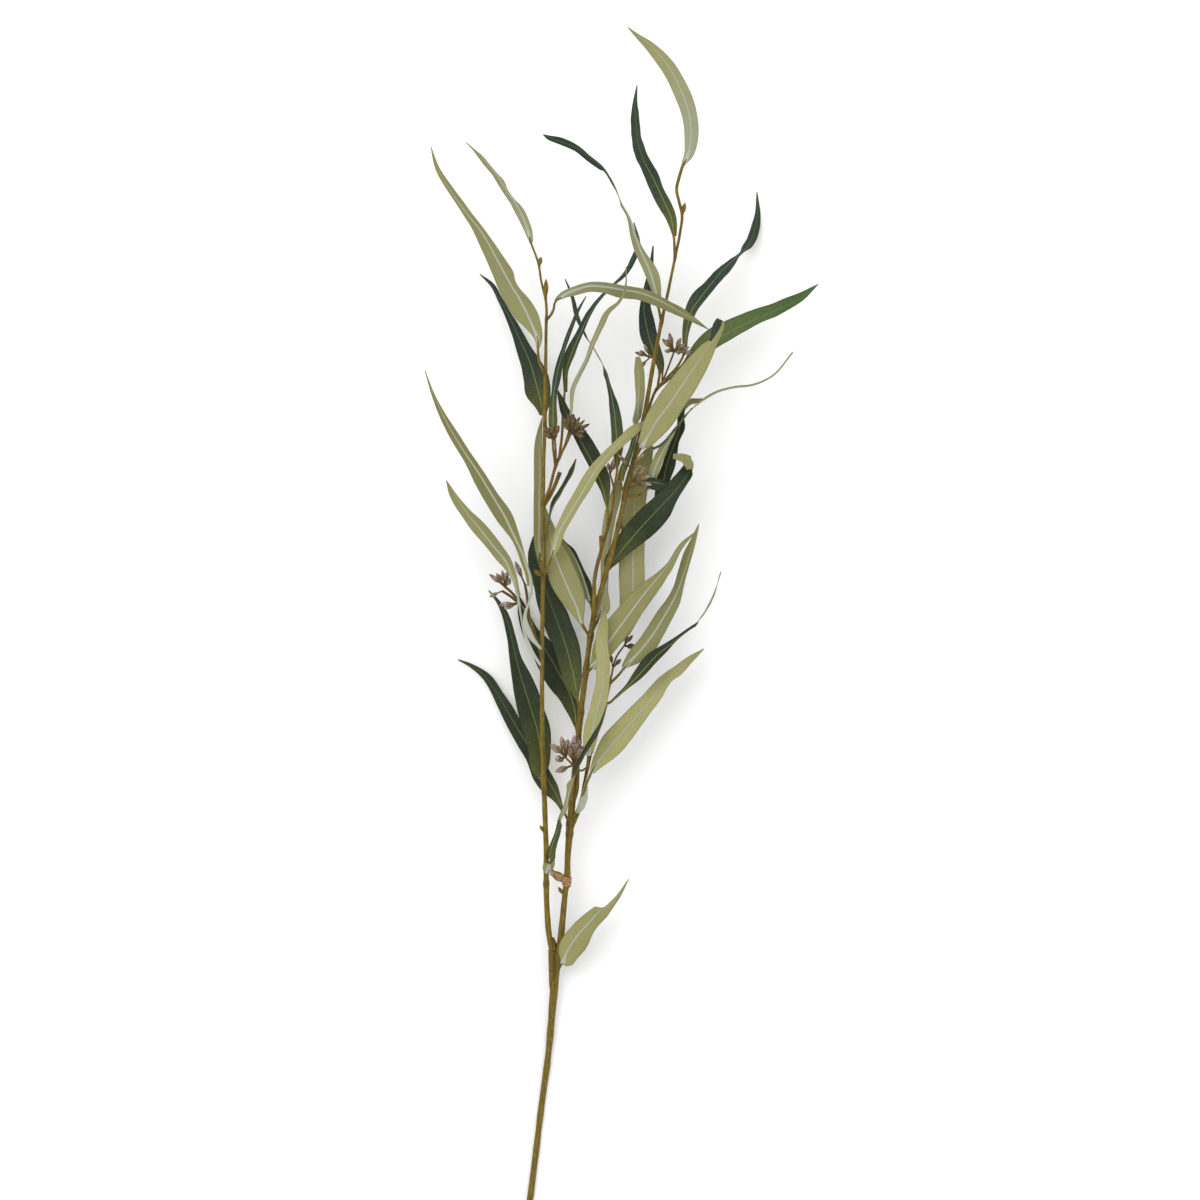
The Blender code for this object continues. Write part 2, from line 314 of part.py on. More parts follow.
                (0.3, 14, 12.4), (0.4, 12.2, 12.4), (0.5, 9.3, 9.8), (0.6, 6.7, 5.6), (0.7, 4.7, 4.5),
                (0.8, 4, 3.8), (0.9, 1.8, 2.8), (1, 0.4, 0.4)],
    "leaf_28": [(-0.065, 1.7, 1.5), (0, 3.5, 1.9), (0.05, 6.6, 3.6), (0.1, 10.4, 5.9), (0.2, 11.8, 6.6),
                (0.3, 8.4, 7.8), (0.4, 8.5, 7.4), (0.5, 8, 7.2), (0.6, 6.8, 7), (0.7, 5.3, 5.4),
                (0.8, 3.3, 5.5), (0.9, 2.2, 2.6), (1, 0.6, 0.6)],
    "leaf_29": [(-0.085, 3.5, 2.5), (-0.05, 5.3, 5.5), (0, 3.6, 6.5), (0.1, 1.3, 5.2), (0.2, 0.8, 5.4),
                (0.3, 2.5, 3), (0.4, 2.5, 0.9), (0.5, 3.4, 1.4), (0.6, 2.3, 2.3), (0.7, 2.4, 2.4),
                (0.8, 2.2, 2.2), (0.9, 1.3, 1.3), (1, 0.4, 0.4)],
    "leaf_30": [(-0.08, 0.8, 0.8), (0, 1.8, 0.8), (0.1, 2.6, 1.9), (0.2, 5.9, 4.5), (0.3, 7.4, 4.9),
                (0.4, 5, 4), (0.5, 3.3, 0.6), (0.6, 1.9, 0.6), (0.65, 0.2, 2.8), (0.7, 0.9, 1.4),
                (0.8, 0.6, 1.2), (0.9, 0.3, 1.2), (1, 0.4, 0.4)],
    "leaf_31": [(0, 4.5, 5), (0.1, 7.7, 6.5), (0.2, 8.9, 6.8), (0.3, 7.8, 7.4), (0.4, 8, 7.5),
                (0.5, 7.2, 6.7), (0.6, 7.6, 6.2), (0.7, 7.8, 5.7), (0.8, 7.5, 5), (0.9, 5.2, 4.5),
                (1, 0.6, 0.8)],
    "leaf_32": [(0, 2, 3), (0.1, 7.4, 8.7), (0.2, 12, 12), (0.3, 11.8, 11.6), (0.4, 10.9, 10),
                (0.5, 9.7, 8.3), (0.6, 8.4, 7.2), (0.7, 7.6, 4.9), (0.74, 6, 5.4), (0.8, 3.4, 7),
                (0.9, 2.2, 4.6), (1, 0.5, 0.5)],
    "leaf_33": [(0, 3.5, 1.2), (0.1, 7.9, 8.3), (0.2, 8.3, 11), (0.3, 8.8, 9.2), (0.4, 8.5, 8.3),
                (0.5, 6.6, 7.4), (0.6, 5.6, 4.4), (0.7, 6.4, 3), (0.8, 6.8, 2.3), (0.9, 3.8, 1.7),
                (1, 0.5, 0.5)],
    "leaf_34": [(-0.05, 4, 4), (0, 6.5, 7), (0.1, 12.5, 10), (0.2, 14.2, 10.8), (0.3, 13.2, 11.6),
                (0.4, 12.2, 10.3), (0.5, 10.4, 9.7), (0.6, 6.6, 8), (0.7, 3.6, 6.1), (0.8, 2.6, 3.4),
                (0.9, 3.2, 1.5), (1, 0.5, 0.5)],
    "leaf_35": [(0, 2, 2), (0.1, 6, 6), (0.2, 11.5, 9), (0.3, 13.4, 11.8), (0.4, 13.8, 11.7),
                (0.5, 13.4, 11.8), (0.6, 12.2, 11.6), (0.7, 11, 12), (0.8, 9, 12), (0.9, 8, 9.5),
                (1, 2, 2)],
    "leaf_36": [(-0.08, 2, 1.5), (-0.04, 6, 3), (0, 9, 4.7), (0.1, 10.8, 7.5), (0.2, 12.2, 11),
                (0.3, 12.9, 13.8), (0.4, 12.5, 14.8), (0.5, 11.2, 13.2), (0.6, 10.2, 8), (0.7, 10, 5.6),
                (0.8, 7.2, 4.6), (0.9, 7.5, 2.6), (1, 4, 1)],
    "leaf_37": [(0, 2, 2), (0.1, 5, 5), (0.2, 5, 4), (0.3, 1.7, 2.5), (0.4, 1, 1.5), (0.5, 1.2, 0.9),
                (0.6, 0.8, 1.2), (1, 0.6, 0.6)],
    "leaf_38": [(-0.04, 2.2, 1), (0, 3.2, 2), (0.1, 4, 5), (0.2, 6, 6), (0.3, 7, 6.5), (0.4, 4.4, 8.4),
                (0.5, 5, 6.6), (0.6, 5, 4), (0.7, 3.2, 5.3), (0.8, 3.9, 2.3), (0.9, 4, 2.8),
                (1, 0.8, 0.8)],
    "leaf_39": [(0, 1.2, 1.2), (0.1, 2.2, 3), (0.2, 3.6, 4.2), (0.3, 4.4, 7.2), (0.4, 4.5, 7.8),
                (0.5, 3.8, 8.2), (0.6, 4, 7), (0.8, 3, 4), (1, 0.6, 0.6)],
    "leaf_40": [(0, 3, 3), (0.1, 3, 4), (0.2, 2.2, 3.5), (0.3, 2.2, 3), (0.4, 3, 3), (0.5, 5, 4),
                (0.6, 2.4, 4.8), (0.7, 2.9, 6), (0.8, 4.2, 5.8), (0.9, 4, 5.6), (1, 1.6, 3)],
    "leaf_43": [(0, 2, 5), (0.02, 3, 9), (0.08, 7, 11.5), (0.16, 10.5, 13.5), (0.24, 11, 14.5),
                (0.33, 10.5, 13.4), (0.41, 10.4, 10.6), (0.49, 9.2, 9), (0.58, 7.6, 8.6), (0.615, 6.6, 8.4),
                (0.65, 0, 8), (0.75, -1.2, 6.8), (0.83, -1.4, 5.4), (0.915, -0.5, 3), (1, 0.5, 0.3)],
}

# Heads of buds: carrier, stalk route with heights, and hubs with the plan places of their bud tips
CLUSTERS = {
    "cluster_a": {
        "carrier": "stem_main",
        "stalk": [(641, 430, 54.6), (649, 408, 47, 2.4), (656, 390, 49.5, 2.2), (667, 378, 54, 2.0)],
        "branches": [
            [(662, 383, 51.5), (668, 368, 60), (674, 352, 65)],
            [(662, 383, 51.5), (662, 368, 50), (657, 359, 48), (650, 357, 47)]],
        "hubs": [
            ((674, 352, 65), [(669, 333), (662, 339), (681, 338), (685, 344), (694, 353), (681, 353),
                              (664, 351)]),
            ((650, 357, 47), [(635, 352), (644, 344), (638, 369)])]},
    "cluster_c": {
        "carrier": "stem_left",
        "stalk": [(543.3, 504, 50.5), (549, 490, 54, 2.6), (555, 468, 57, 2.4), (564, 448, 63, 2.2),
                  (571, 434, 67, 1.8)],
        "branches": [[(555, 468, 57), (556, 453, 63), (555, 440, 65)]],
        "hubs": [
            ((571, 434, 67), [(563, 416), (568, 413), (574, 414), (580, 417), (585, 420), (590, 424),
                              (587, 431), (585, 437), (577, 425)]),
            ((555, 440, 65), [(544, 425), (544, 431), (550, 425), (559, 425), (555, 431)])]},
    "cluster_d": {
        "carrier": "stem_main",
        "stalk": [(627.5, 484, 53), (630, 484, 60, 1.8), (633, 482, 63, 1.6)],
        "branches": [[(632, 483, 62), (631, 473, 64), (630, 466, 65)]],
        "hubs": [
            ((633, 482, 63), [(638, 468), (645, 467), (650, 476), (652, 485)]),
            ((630, 467, 65), [(618, 455), (622, 460), (644, 454)])]},
    "cluster_e": {
        "carrier": "stem_left",
        "stalk": [(542, 655, 43.8), (537, 643, 42.5, 2.6), (532.5, 627, 42.5, 2.4), (528, 614, 43.2, 2.0),
                  (519, 603, 45, 1.7)],
        "branches": [
            [(529, 617, 43), (527, 597, 44), (525, 584, 45)],
            [(520.5, 605, 44.8), (512, 593, 46.5), (504, 586, 47)],
            [(520.5, 605, 44.8), (510, 596, 46), (502, 591, 46)]],
        "hubs": [
            ((505, 587, 47), [(489, 574), (496, 573), (502, 570), (507, 571), (511, 580)]),
            ((502, 591, 46), [(489, 597)]),
            ((519, 603, 45), [(499, 605), (504, 609)]),
            ((525, 585, 45), [(515, 561)])]},
    "cluster_f": {
        "carrier": "twig_low",
        "stalk": [(588, 768, 36.5), (581, 771, 44, 1.8), (574, 766, 47, 1.7), (566, 758, 49, 1.6)],
        "branches": [],
        "hubs": [
            ((574, 765, 47), [(574, 735), (580, 734), (583, 746), (555, 772), (568, 745)]),
            ((566, 757, 49), [(550, 744), (561, 736), (568, 739), (555, 760)])]},
}
TWIG_LOW_HUBS = [
    ((624, 646, 42), [(633, 635), (635, 645), (628, 636)]),
    ((613, 668, 42), [(621, 659), (610, 653)])]
TWIG_MIDDLE_HUBS = [((610, 474, 61), [(608, 463), (614, 458), (617, 462)])]

# Side buds, nubs and cut stubs fused to a stem: two plan points with heights, and the widest radius
MAIN_SIDE_BUDS = [((682, 217, 61), (685, 203, 63.5), 1.9), ((564, 897, 22), (558, 888, 25), 1.6)]
LEFT_SIDE_BUDS = [
    ((546, 301, 56), (546, 279, 59), 2.0), ((539, 268, 58), (541, 257, 60.5), 1.9),
    ((543, 577, 48), (534, 570, 52), 2.2), ((544, 834, 28), (540, 826, 30.5), 1.5)]
LEFT_STUB = [(543.3, 507, 50.4), (550, 496, 49.5), (557, 480, 49.5), (560, 472, 49.5)]
LEFT_STUB_WIDE = 3.4
MIDDLE_STUB = [(601, 549, 56), (601, 536, 59)]
MIDDLE_STUB_WIDE = 3.2

# The tie: a band round the right-hand stem, with a tail
TIE_Y, TIE_TALL, TIE_THICK = 882, 9.0, 1.1
TIE_ROOM = 1.3 * GAP
TAIL_WIDE, TAIL_THICK = 6.5 * MM, 0.9 * MM
TIE_TAIL = [(566, 882, 26.9), (551, 873, 26.9)]


def clear_scene():
    for obj in list(bpy.data.objects):
        bpy.data.objects.remove(obj, do_unlink=True)
    for name in ("Eucalyptus branch", "Cutters"):
        bpy.context.scene.collection.children.link(bpy.data.collections.new(name))


def place(x, y, height):
    """A point of the drawing grid, in metres."""
    return Vector(((x - MIDDLE_X) * SQUARE, (MIDDLE_Y - y) * SQUARE, height * MM))


def material(name, colour, roughness):
    made = bpy.data.materials.get(name) or bpy.data.materials.new(name)
    made.use_nodes = True
    shader = made.node_tree.nodes["Principled BSDF"]
    shader.inputs["Base Color"].default_value = (*colour, 1)
    shader.inputs["Roughness"].default_value = roughness
    return made


def finish_object(name, mesh, coat):
    mesh.materials.clear()
    mesh.materials.append(coat)
    obj = bpy.data.objects.new(name, mesh)
    bpy.data.collections["Eucalyptus branch"].objects.link(obj)
    return obj


class Path:
    """A smooth curve through points placed by hand, measured along its length."""

    STEPS = 14

    def __init__(self, points):
        spans = [max((b - a).length, 1e-9) for a, b in zip(points, points[1:])]
        slopes = [(b - a) / d for a, b, d in zip(points, points[1:], spans)]
        pulls = [slopes[0]]
        for i in range(1, len(points) - 1):
            before, after = spans[i - 1], spans[i]
            pulls.append((slopes[i - 1] * after + slopes[i] * before) / (before + after))
        pulls.append(slopes[-1])
        self.points = [points[0]]
        for i, span in enumerate(spans):
            for step in range(1, self.STEPS + 1):
                self.points.append(self.between(points, pulls, i, span, step / self.STEPS))
        self.reach = [0.0]
        for a, b in zip(self.points, self.points[1:]):
            self.reach.append(self.reach[-1] + (b - a).length)
        self.length = self.reach[-1]

    @staticmethod
    def between(points, pulls, i, span, t):
        a, b = points[i], points[i + 1]
        start = a * (2 * t**3 - 3 * t**2 + 1) + pulls[i] * span * (t**3 - 2 * t**2 + t)
        return start + b * (3 * t**2 - 2 * t**3) + pulls[i + 1] * span * (t**3 - t**2)

    def at(self, distance):
        distance = min(max(distance, 0.0), self.length)
        last = len(self.reach) - 2
        i = min(next((k for k, r in enumerate(self.reach) if r >= distance), last + 1), last + 1)
        i = max(i, 1)
        span = self.reach[i] - self.reach[i - 1]
        share = (distance - self.reach[i - 1]) / span if span else 0.0
        return self.points[i - 1].lerp(self.points[i], share)

    def tangent(self, distance):
        step = 1.5 * MM
        return (self.at(distance + step) - self.at(distance - step)).normalized()

    def nearest(self, point):
        """The distance along the curve that is nearest to a point in plan."""
        flat = [((p.xy - point.xy).length, r) for p, r in zip(self.points, self.reach)]
        return min(flat)[1]


def blend_values(pairs, share):
    """A smooth value between (share, value) pairs."""
    for (a, first), (b, second) in zip(pairs, pairs[1:]):
        if share <= b:
            t = (share - a) / (b - a)
            return first + (second - first) * t * t * (3 - 2 * t)
    return pairs[-1][1]


def flow(rows, share, column):
    """A smooth value between rows that lead with their share, through each row."""
    last = len(rows) - 1
    i = next((n for n in range(1, last) if share <= rows[n][0]), last)
    a, b = rows[i - 1], rows[i]
    low, high = rows[max(i - 2, 0)], rows[min(i + 1, last)]
    span = b[0] - a[0]
    t = min(max((share - a[0]) / span, 0.0), 1.0)
    start = (b[column] - low[column]) / (b[0] - low[0]) * span
    end = (high[column] - a[column]) / (high[0] - a[0]) * span
    return (a[column] * (2 * t**3 - 3 * t**2 + 1) + start * (t**3 - 2 * t**2 + t)
            + b[column] * (3 * t**2 - 2 * t**3) + end * (t**3 - t**2))


class Carrier:
    """A stem that others push onto: its centre line, its radius, and what is fused to it."""

    def __init__(self, name, centre, diameters, sides):
        self.name = name
        self.path = Path(centre)
        shares = [self.path.nearest(p) / self.path.length for p in centre]
        self.radii = [(s, d * MM / 2) for s, d in zip(shares, diameters)]
        self.pieces = [self.stem(sides)]

    def radius(self, distance):
        return blend_values(self.radii, distance / self.path.length)

    def stem(self, sides):
        count = max(3, round(self.path.length / STEM_STEP))
        places = [self.path.length * i / count for i in range(count + 1)]
        return tube([self.path.at(d) for d in places], [self.radius(d) for d in places], sides)

    def seat(self, root, toward, radius):
        """Adds the peg of a piece that leaves the stem here, and returns the piece's first two points."""
        distance = self.path.nearest(root)
        along = self.path.tangent(distance)
        centre = self.path.at(distance)
        if distance > self.path.length - 1 * MM:
            return centre, centre + along * GAP
        out = (toward - centre).normalized()
        slant = max(out.cross(along).length, 0.3)
        end = centre + out * (self.radius(distance) + radius + GAP) / slant
        self.pieces.append(tube([centre, end], [radius, radius], TWIG_SIDES))
        return centre, end + out * GAP


def tube(points, radii, sides):
    """A closed round tube through the points, as a mesh object of its own."""
    curve = bpy.data.curves.new("tube", "CURVE")
    curve.dimensions = "3D"
    curve.bevel_depth = 1.0
    curve.bevel_resolution = (sides - 4) // 2
    curve.use_fill_caps = True
    spline = curve.splines.new("POLY")
    spline.points.add(len(points) - 1)
    for target, point, radius in zip(spline.points, points, radii):
        target.co = (*point, 1)
        target.radius = radius
    source = bpy.data.objects.new("tube", curve)
    bpy.context.scene.collection.objects.link(source)
    bpy.context.view_layer.update()
    graph = bpy.context.evaluated_depsgraph_get()
    mesh = bpy.data.meshes.new_from_object(source.evaluated_get(graph))
    bpy.data.objects.remove(source, do_unlink=True)
    work = bmesh.new()
    work.from_mesh(mesh)
    bmesh.ops.remove_doubles(work, verts=work.verts, dist=0.00001)
    bmesh.ops.recalc_face_normals(work, faces=work.faces)
    work.to_mesh(mesh)
    work.free()
    return bpy.data.objects.new("tube", mesh)


def bud(start, tip, radius, stalk_radius=STALK_RADIUS):
    """A pointed bud on a short stalk of its own."""
    shares = ((0, stalk_radius), (0.32, stalk_radius), (0.62, radius), (1, BUD_POINT))
    return tube([start.lerp(tip, share) for share, _ in shares], [r for _, r in shares], TWIG_SIDES)


def bud_head(hub, tips, draw):
    """A fan of buds from one hub, with heights drawn at random round it."""
    start = place(*hub)
    knob = [start - Vector((0, 0, HUB_TALL / 2)), start, start + Vector((0, 0, HUB_TALL / 2))]
    buds = [tube(knob, [HUB_RADIUS * 0.6, HUB_RADIUS, HUB_RADIUS * 0.6], TWIG_SIDES)]
    for x, y in tips:
        lift = draw.uniform(-2.5, 5.0)
        buds.append(bud(start, place(x, y, hub[2] + lift), BUD_RADIUS * draw.uniform(0.85, 1.15)))
    return buds


def join(name, pieces, coat, flat_on_table=False):
    """One closed solid from pieces that run into each other."""
    first, others = pieces[0], pieces[1:]
    scene = bpy.context.scene.collection
    group = bpy.data.collections.new("to join")
    scene.children.link(group)
    scene.objects.link(first)
    for piece in others:
        group.objects.link(piece)
    union = first.modifiers.new("join", "BOOLEAN")
    union.operation = "UNION"
    union.solver = "MANIFOLD"
    union.operand_type = "COLLECTION"
    union.collection = group
    if flat_on_table:
        bpy.ops.mesh.primitive_cube_add(size=TABLE_SIZE, location=(0, 0, -TABLE_SIZE / 2))
        table = bpy.context.object
        cut = first.modifiers.new("flat", "BOOLEAN")
        cut.operation = "DIFFERENCE"
        cut.object = table
    bpy.context.view_layer.update()
    graph = bpy.context.evaluated_depsgraph_get()
    mesh = bpy.data.meshes.new_from_object(first.evaluated_get(graph))
    for piece in pieces:
        bpy.data.objects.remove(piece, do_unlink=True)
    if flat_on_table:
        bpy.data.objects.remove(table, do_unlink=True)
    bpy.data.collections.remove(group)
    return finish_object(name, mesh, coat)


class Blade:
    """A leaf's blade: its route, its roll, and where its edges lie as seen from above."""

    def __init__(self, name, path, rolls, foot):
        self.path, self.rolls, self.rows, self.foot = path, rolls, SIDES[name], foot
        self.phase = random.Random(name).uniform(0, 2 * math.pi)

    def stations(self):
        """Shares of the length where the blade has a section: closer where it twists."""
        turned = sum(abs(b[1] - a[1]) for a, b in zip(self.rolls, self.rolls[1:]))
        count = round(self.path.length / STATION_STEP) + round(turned / TURN_STEP)
        blade = [self.foot + (1 - self.foot) * i / count for i in range(count + 1)]
        return [0.0, self.foot / 2, *blade] if self.foot > 0.1 else [0.0, *blade]

    def reaches(self, share, turn):
        """How far the rib lies off the route, and how far the two edges lie from the rib along the face."""
        on_blade = (share - self.foot) / (1 - self.foot)
        if on_blade <= 0:
            return 0.0, PETIOLE_WIDE / 2, PETIOLE_WIDE / 2
        left, other = (flow(self.rows, on_blade, k) * SQUARE for k in (1, 2))
        wide = max(left + other, TIP_WIDE)
        rib = min(max(0.0, RIB_ROOM * wide - left), other - RIB_ROOM * wide)
        flat = max(abs(math.cos(turn)), LEAST_TURN)
        same = 0.5 + 0.5 * min(max(math.cos(turn) / LEAST_TURN, -1.0), 1.0)
        left, other = (max(reach, TIP_WIDE / 2) / flat for reach in (left + rib, other - rib))
        return rib, same * left + (1 - same) * other, same * other + (1 - same) * left

    def section(self, share):
        """Six corners of the blade's section, and its lowest height is kept on the table."""
        distance = share * self.path.length
        along = self.path.tangent(distance)
        right = along.cross(Vector((0, 0, 1))).normalized()
        up = right.cross(along)
        turn = math.radians(blend_values(self.rolls, share))
        side = right * math.cos(turn) + up * math.sin(turn)
        normal = up * math.cos(turn) - right * math.sin(turn)
        rib, *reaches = self.reaches(share, turn)
        centre = self.path.at(distance) + right * rib
        half = sum(reaches) / 2
        fill = min(max((half - PETIOLE_WIDE / 2) / (3 * MM), 0.0), 1.0)
        thick = PETIOLE_THICK + (RIB_THICK - PETIOLE_THICK) * fill
        channel = CHANNEL * half * fill
        corners = []
        for sign, reach, shift in ((-1, reaches[0], 0.0), (1, reaches[1], WAVE_SHIFT)):
            wave = WAVE * half * fill * math.sin(2 * math.pi * distance / WAVE_LENGTH + self.phase + shift)
            edge = centre + side * reach * sign + normal * (wave + channel / 2)
            corners.append((edge + normal * BLADE_THICK / 2, edge - normal * BLADE_THICK / 2))
        middle = centre - normal * channel / 2
        (left_top, left_low), (right_top, right_low) = corners
        ring = [left_top, middle + normal * thick / 2, right_top,
                right_low, middle - normal * thick / 2, left_low]
        sunk = min(corner.z for corner in ring)
        return [corner - Vector((0, 0, sunk)) for corner in ring] if sunk < 0 else ring


def leaf(name, start, route, rolls, foot, coat):
    """A thin channelled blade on its petiole, in triangles that are alike on both faces."""
    blade = Blade(name, Path([start[1], *route]), rolls, foot)
    work = bmesh.new()
    rings = [[work.verts.new(corner) for corner in blade.section(share)] for share in blade.stations()]
    for low, high in zip(rings, rings[1:]):
        for a, b in ((0, 1), (1, 2), (2, 3), (5, 0)):
            work.faces.new((low[a], low[b], high[b]))
            work.faces.new((low[a], high[b], high[a]))
        for a, b in ((5, 4), (4, 3)):
            work.faces.new((low[b], low[a], high[b]))
            work.faces.new((high[b], low[a], high[a]))
    for ring in (rings[0], rings[-1]):
        work.faces.new((ring[0], ring[1], ring[4], ring[5]))
        work.faces.new((ring[1], ring[2], ring[3], ring[4]))
    bmesh.ops.recalc_face_normals(work, faces=work.faces)
    mesh = bpy.data.meshes.new(name)
    work.to_mesh(mesh)
    work.free()
    return finish_object(name, mesh, coat)


def stem_carrier(name, route, sides):
    return Carrier(name, [place(*p[:3]) for p in route], [p[3] for p in route], sides)


def seated_carrier(name, parent, root, route, sides):
    """A stem that pushes onto a peg of its parent."""
    points = [place(*p[:3]) for p in route]
    radius = max(route[0][3] * MM / 2, PEG_RADIUS)
    start = parent.seat(place(*root), points[0], radius)[1]
    return Carrier(name, [start, *points], [route[0][3], *(p[3] for p in route)], sides)


def cluster_carrier(name, spec, parent):
    stalk = spec["stalk"]
    made = seated_carrier(name, parent, stalk[0], stalk[1:], TWIG_SIDES)
    draw = random.Random(name)
    for branch in spec["branches"]:
        points = [place(*p) for p in branch]
        made.pieces.append(tube(points, [BRANCH_RADIUS] * len(points), TWIG_SIDES))
    for hub, tips in spec["hubs"]:
        made.pieces += bud_head(hub, tips, draw)
    return made


def add_stub(carrier, route, wide):
    carrier.pieces.append(tube([place(*p) for p in route], [wide * MM / 2] * len(route), TWIG_SIDES))


def add_side_buds(carrier, buds):
    for start, tip, radius in buds:
        carrier.pieces.append(bud(place(*start), place(*tip), radius * MM, SIDE_STALK_RADIUS))


def make_carriers():
    """Every stem, twig and cluster, before the leaves push onto them."""
    main = stem_carrier("stem_main", MAIN_ROUTE, STEM_SIDES)
    left = seated_carrier("stem_left", main, LEFT_ROOT, LEFT_ROUTE, STEM_SIDES)
    middle = seated_carrier("twig_middle", main, TWIG_MIDDLE_ROOT, TWIG_MIDDLE_ROUTE, TWIG_SIDES)
    low = seated_carrier("twig_low", main, TWIG_LOW_ROOT, TWIG_LOW_ROUTE, TWIG_SIDES)
    found = {made.name: made for made in (main, left, middle, low)}
    add_side_buds(main, MAIN_SIDE_BUDS)
    add_side_buds(left, LEFT_SIDE_BUDS)
    add_stub(left, LEFT_STUB, LEFT_STUB_WIDE)
    add_stub(middle, MIDDLE_STUB, MIDDLE_STUB_WIDE)
    for carrier, hubs in ((middle, TWIG_MIDDLE_HUBS), (low, TWIG_LOW_HUBS)):
        draw = random.Random(carrier.name)
        for hub, tips in hubs:
            carrier.pieces += bud_head(hub, tips, draw)
    for name, spec in CLUSTERS.items():
        found[name] = cluster_carrier(name, spec, found[spec["carrier"]])
    return found


def make_tie(main, coat):
    """A band round the stem with a clear hole, and the tail of the strip."""
    centre_line = main.path
    distance = centre_line.nearest(place(567, TIE_Y, 24))
    centre, along = centre_line.at(distance), centre_line.tangent(distance)
    inner = main.radius(distance) + TIE_ROOM
    turn = Vector((0, 0, 1)).rotation_difference(along).to_matrix().to_4x4()
    solids = []
    for radius, tall in ((inner + TIE_THICK * MM, TIE_TALL * MM), (inner, 4 * TIE_TALL * MM)):
        mesh = bpy.data.meshes.new("band")
        work = bmesh.new()
        bmesh.ops.create_cone(work, cap_ends=True, segments=20, radius1=radius, radius2=radius,
                              depth=tall, matrix=Matrix.Translation(centre) @ turn)
        work.to_mesh(mesh)
        work.free()
        solids.append(bpy.data.objects.new("band", mesh))
    band, hole = solids
    start, end = (place(*p) for p in TIE_TAIL)
    tail_mesh = bpy.data.meshes.new("tail")
    work = bmesh.new()
    bmesh.ops.create_cube(work, size=1)
    run = (end - start).normalized()
    across = run.cross(Vector((0, 0, 1))).normalized()
    axes = Matrix((run, across, run.cross(across))).transposed().to_4x4()
    size = Matrix.Diagonal(((end - start).length, TAIL_WIDE, TAIL_THICK, 1))
    bmesh.ops.transform(work, verts=work.verts, matrix=Matrix.Translation((start + end) / 2) @ axes @ size)
    bmesh.ops.recalc_face_normals(work, faces=work.faces)
    work.to_mesh(tail_mesh)
    work.free()
    tie = join("tie", [band, bpy.data.objects.new("tail", tail_mesh)], coat)
    hole.name = "stem hole"
    hole.hide_render = True
    hole.display_type = "WIRE"
    bpy.data.collections["Cutters"].objects.link(hole)
    cut = tie.modifiers.new("stem hole", "BOOLEAN")
    cut.operation = "DIFFERENCE"
    cut.object = hole


def main():
    clear_scene()
    stem_coat = material("stem", (0.25, 0.17, 0.03), 0.55)
    bud_coat = material("buds", (0.35, 0.24, 0.22), 0.6)
    leaf_coat = material("leaf", (0.05, 0.09, 0.06), 0.6)
    tie_coat = material("tie", (0.42, 0.25, 0.11), 0.85)
    carriers = make_carriers()
    for name, (carrier, foot, route, rolls) in LEAVES.items():
        points = [place(*p) for p in route]
        start = carriers[carrier].seat(points[0], points[1], PEG_RADIUS)
        leaf(name, start, points[1:], rolls, foot, leaf_coat)
    for name, carrier in carriers.items():
        coat = bud_coat if name.startswith("cluster") else stem_coat
        join(name, carrier.pieces, coat, flat_on_table=name == "stem_main")
    make_tie(carriers["stem_main"], tie_coat)


main()
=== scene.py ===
"""The looks of a spray of willow-leaf eucalyptus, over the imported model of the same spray.

It is in metres, with X to the right, Y towards the leaf tips and Z up from the table. Routes are drawn
from above on a grid with x to the right and y down, where 1200 squares span 0.96 m. Heights, widths and
diameters in the tables are in millimetres. The camera looks straight down on the spray.
"""

import math
import random

import bmesh
import bpy
from mathutils import Matrix, Vector


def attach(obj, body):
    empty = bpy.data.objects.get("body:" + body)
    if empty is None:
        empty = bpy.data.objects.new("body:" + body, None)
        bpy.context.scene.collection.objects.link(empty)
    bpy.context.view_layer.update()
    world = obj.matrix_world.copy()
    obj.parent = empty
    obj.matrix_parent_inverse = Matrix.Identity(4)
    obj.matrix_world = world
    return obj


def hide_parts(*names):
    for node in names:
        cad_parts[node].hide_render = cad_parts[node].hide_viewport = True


# Driving dimensions, as in the model's source
GRID_SPAN = 0.96
SQUARE = GRID_SPAN / 1200
MIDDLE_X, MIDDLE_Y = 621.56, 628.83
MM = 0.001
GAP = 0.3 * MM
PETIOLE_WIDE = 2.0 * MM
PEG_RADIUS = 1.0 * MM
TABLE_SIDE = 60.0
# The studio is this much brighter than white, so that the floor stays white under soft shadows
EXTRA_LIGHT = 1.14
SKY_LIGHT = 0.82
# Each lamp's name, place, side in metres and power in watts
LAMPS = (("key", (-0.9, 1.1, 2.2), 2.0, 21), ("fill", (1.4, -0.6, 1.9), 2.2, 5))

# Detail of the dressed pieces
BLADE_THICK = 0.4 * MM
EDGE_THIN = 0.7
BLADE_STEP = 2.5 * MM
BLADE_COLUMNS = (-1, -0.86, -0.66, -0.44, -0.22, -0.07, 0, 0.07, 0.22, 0.44, 0.66, 0.86, 1)
LEAST_HALF = 0.3 * MM
LEAST_TURN = 0.35
RIB_ROOM = 0.3
ROW_STEP = 0.1
STEM_SIDES = 14
STEM_STEP = 2.5 * MM
BUD_SIDES = 8
THIN_SIDES = 8
PETIOLE_SIDES = 10
STRAND_STEPS = 16
STUB_STEPS = 8
# Where along a cut stub its dark end begins, and how thick the branches in the heads are
STUB_DARK = 0.87
BRANCH_RADIUS = 0.75 * MM
BRANCH_RADII = {"cluster_e": 1.1 * MM}

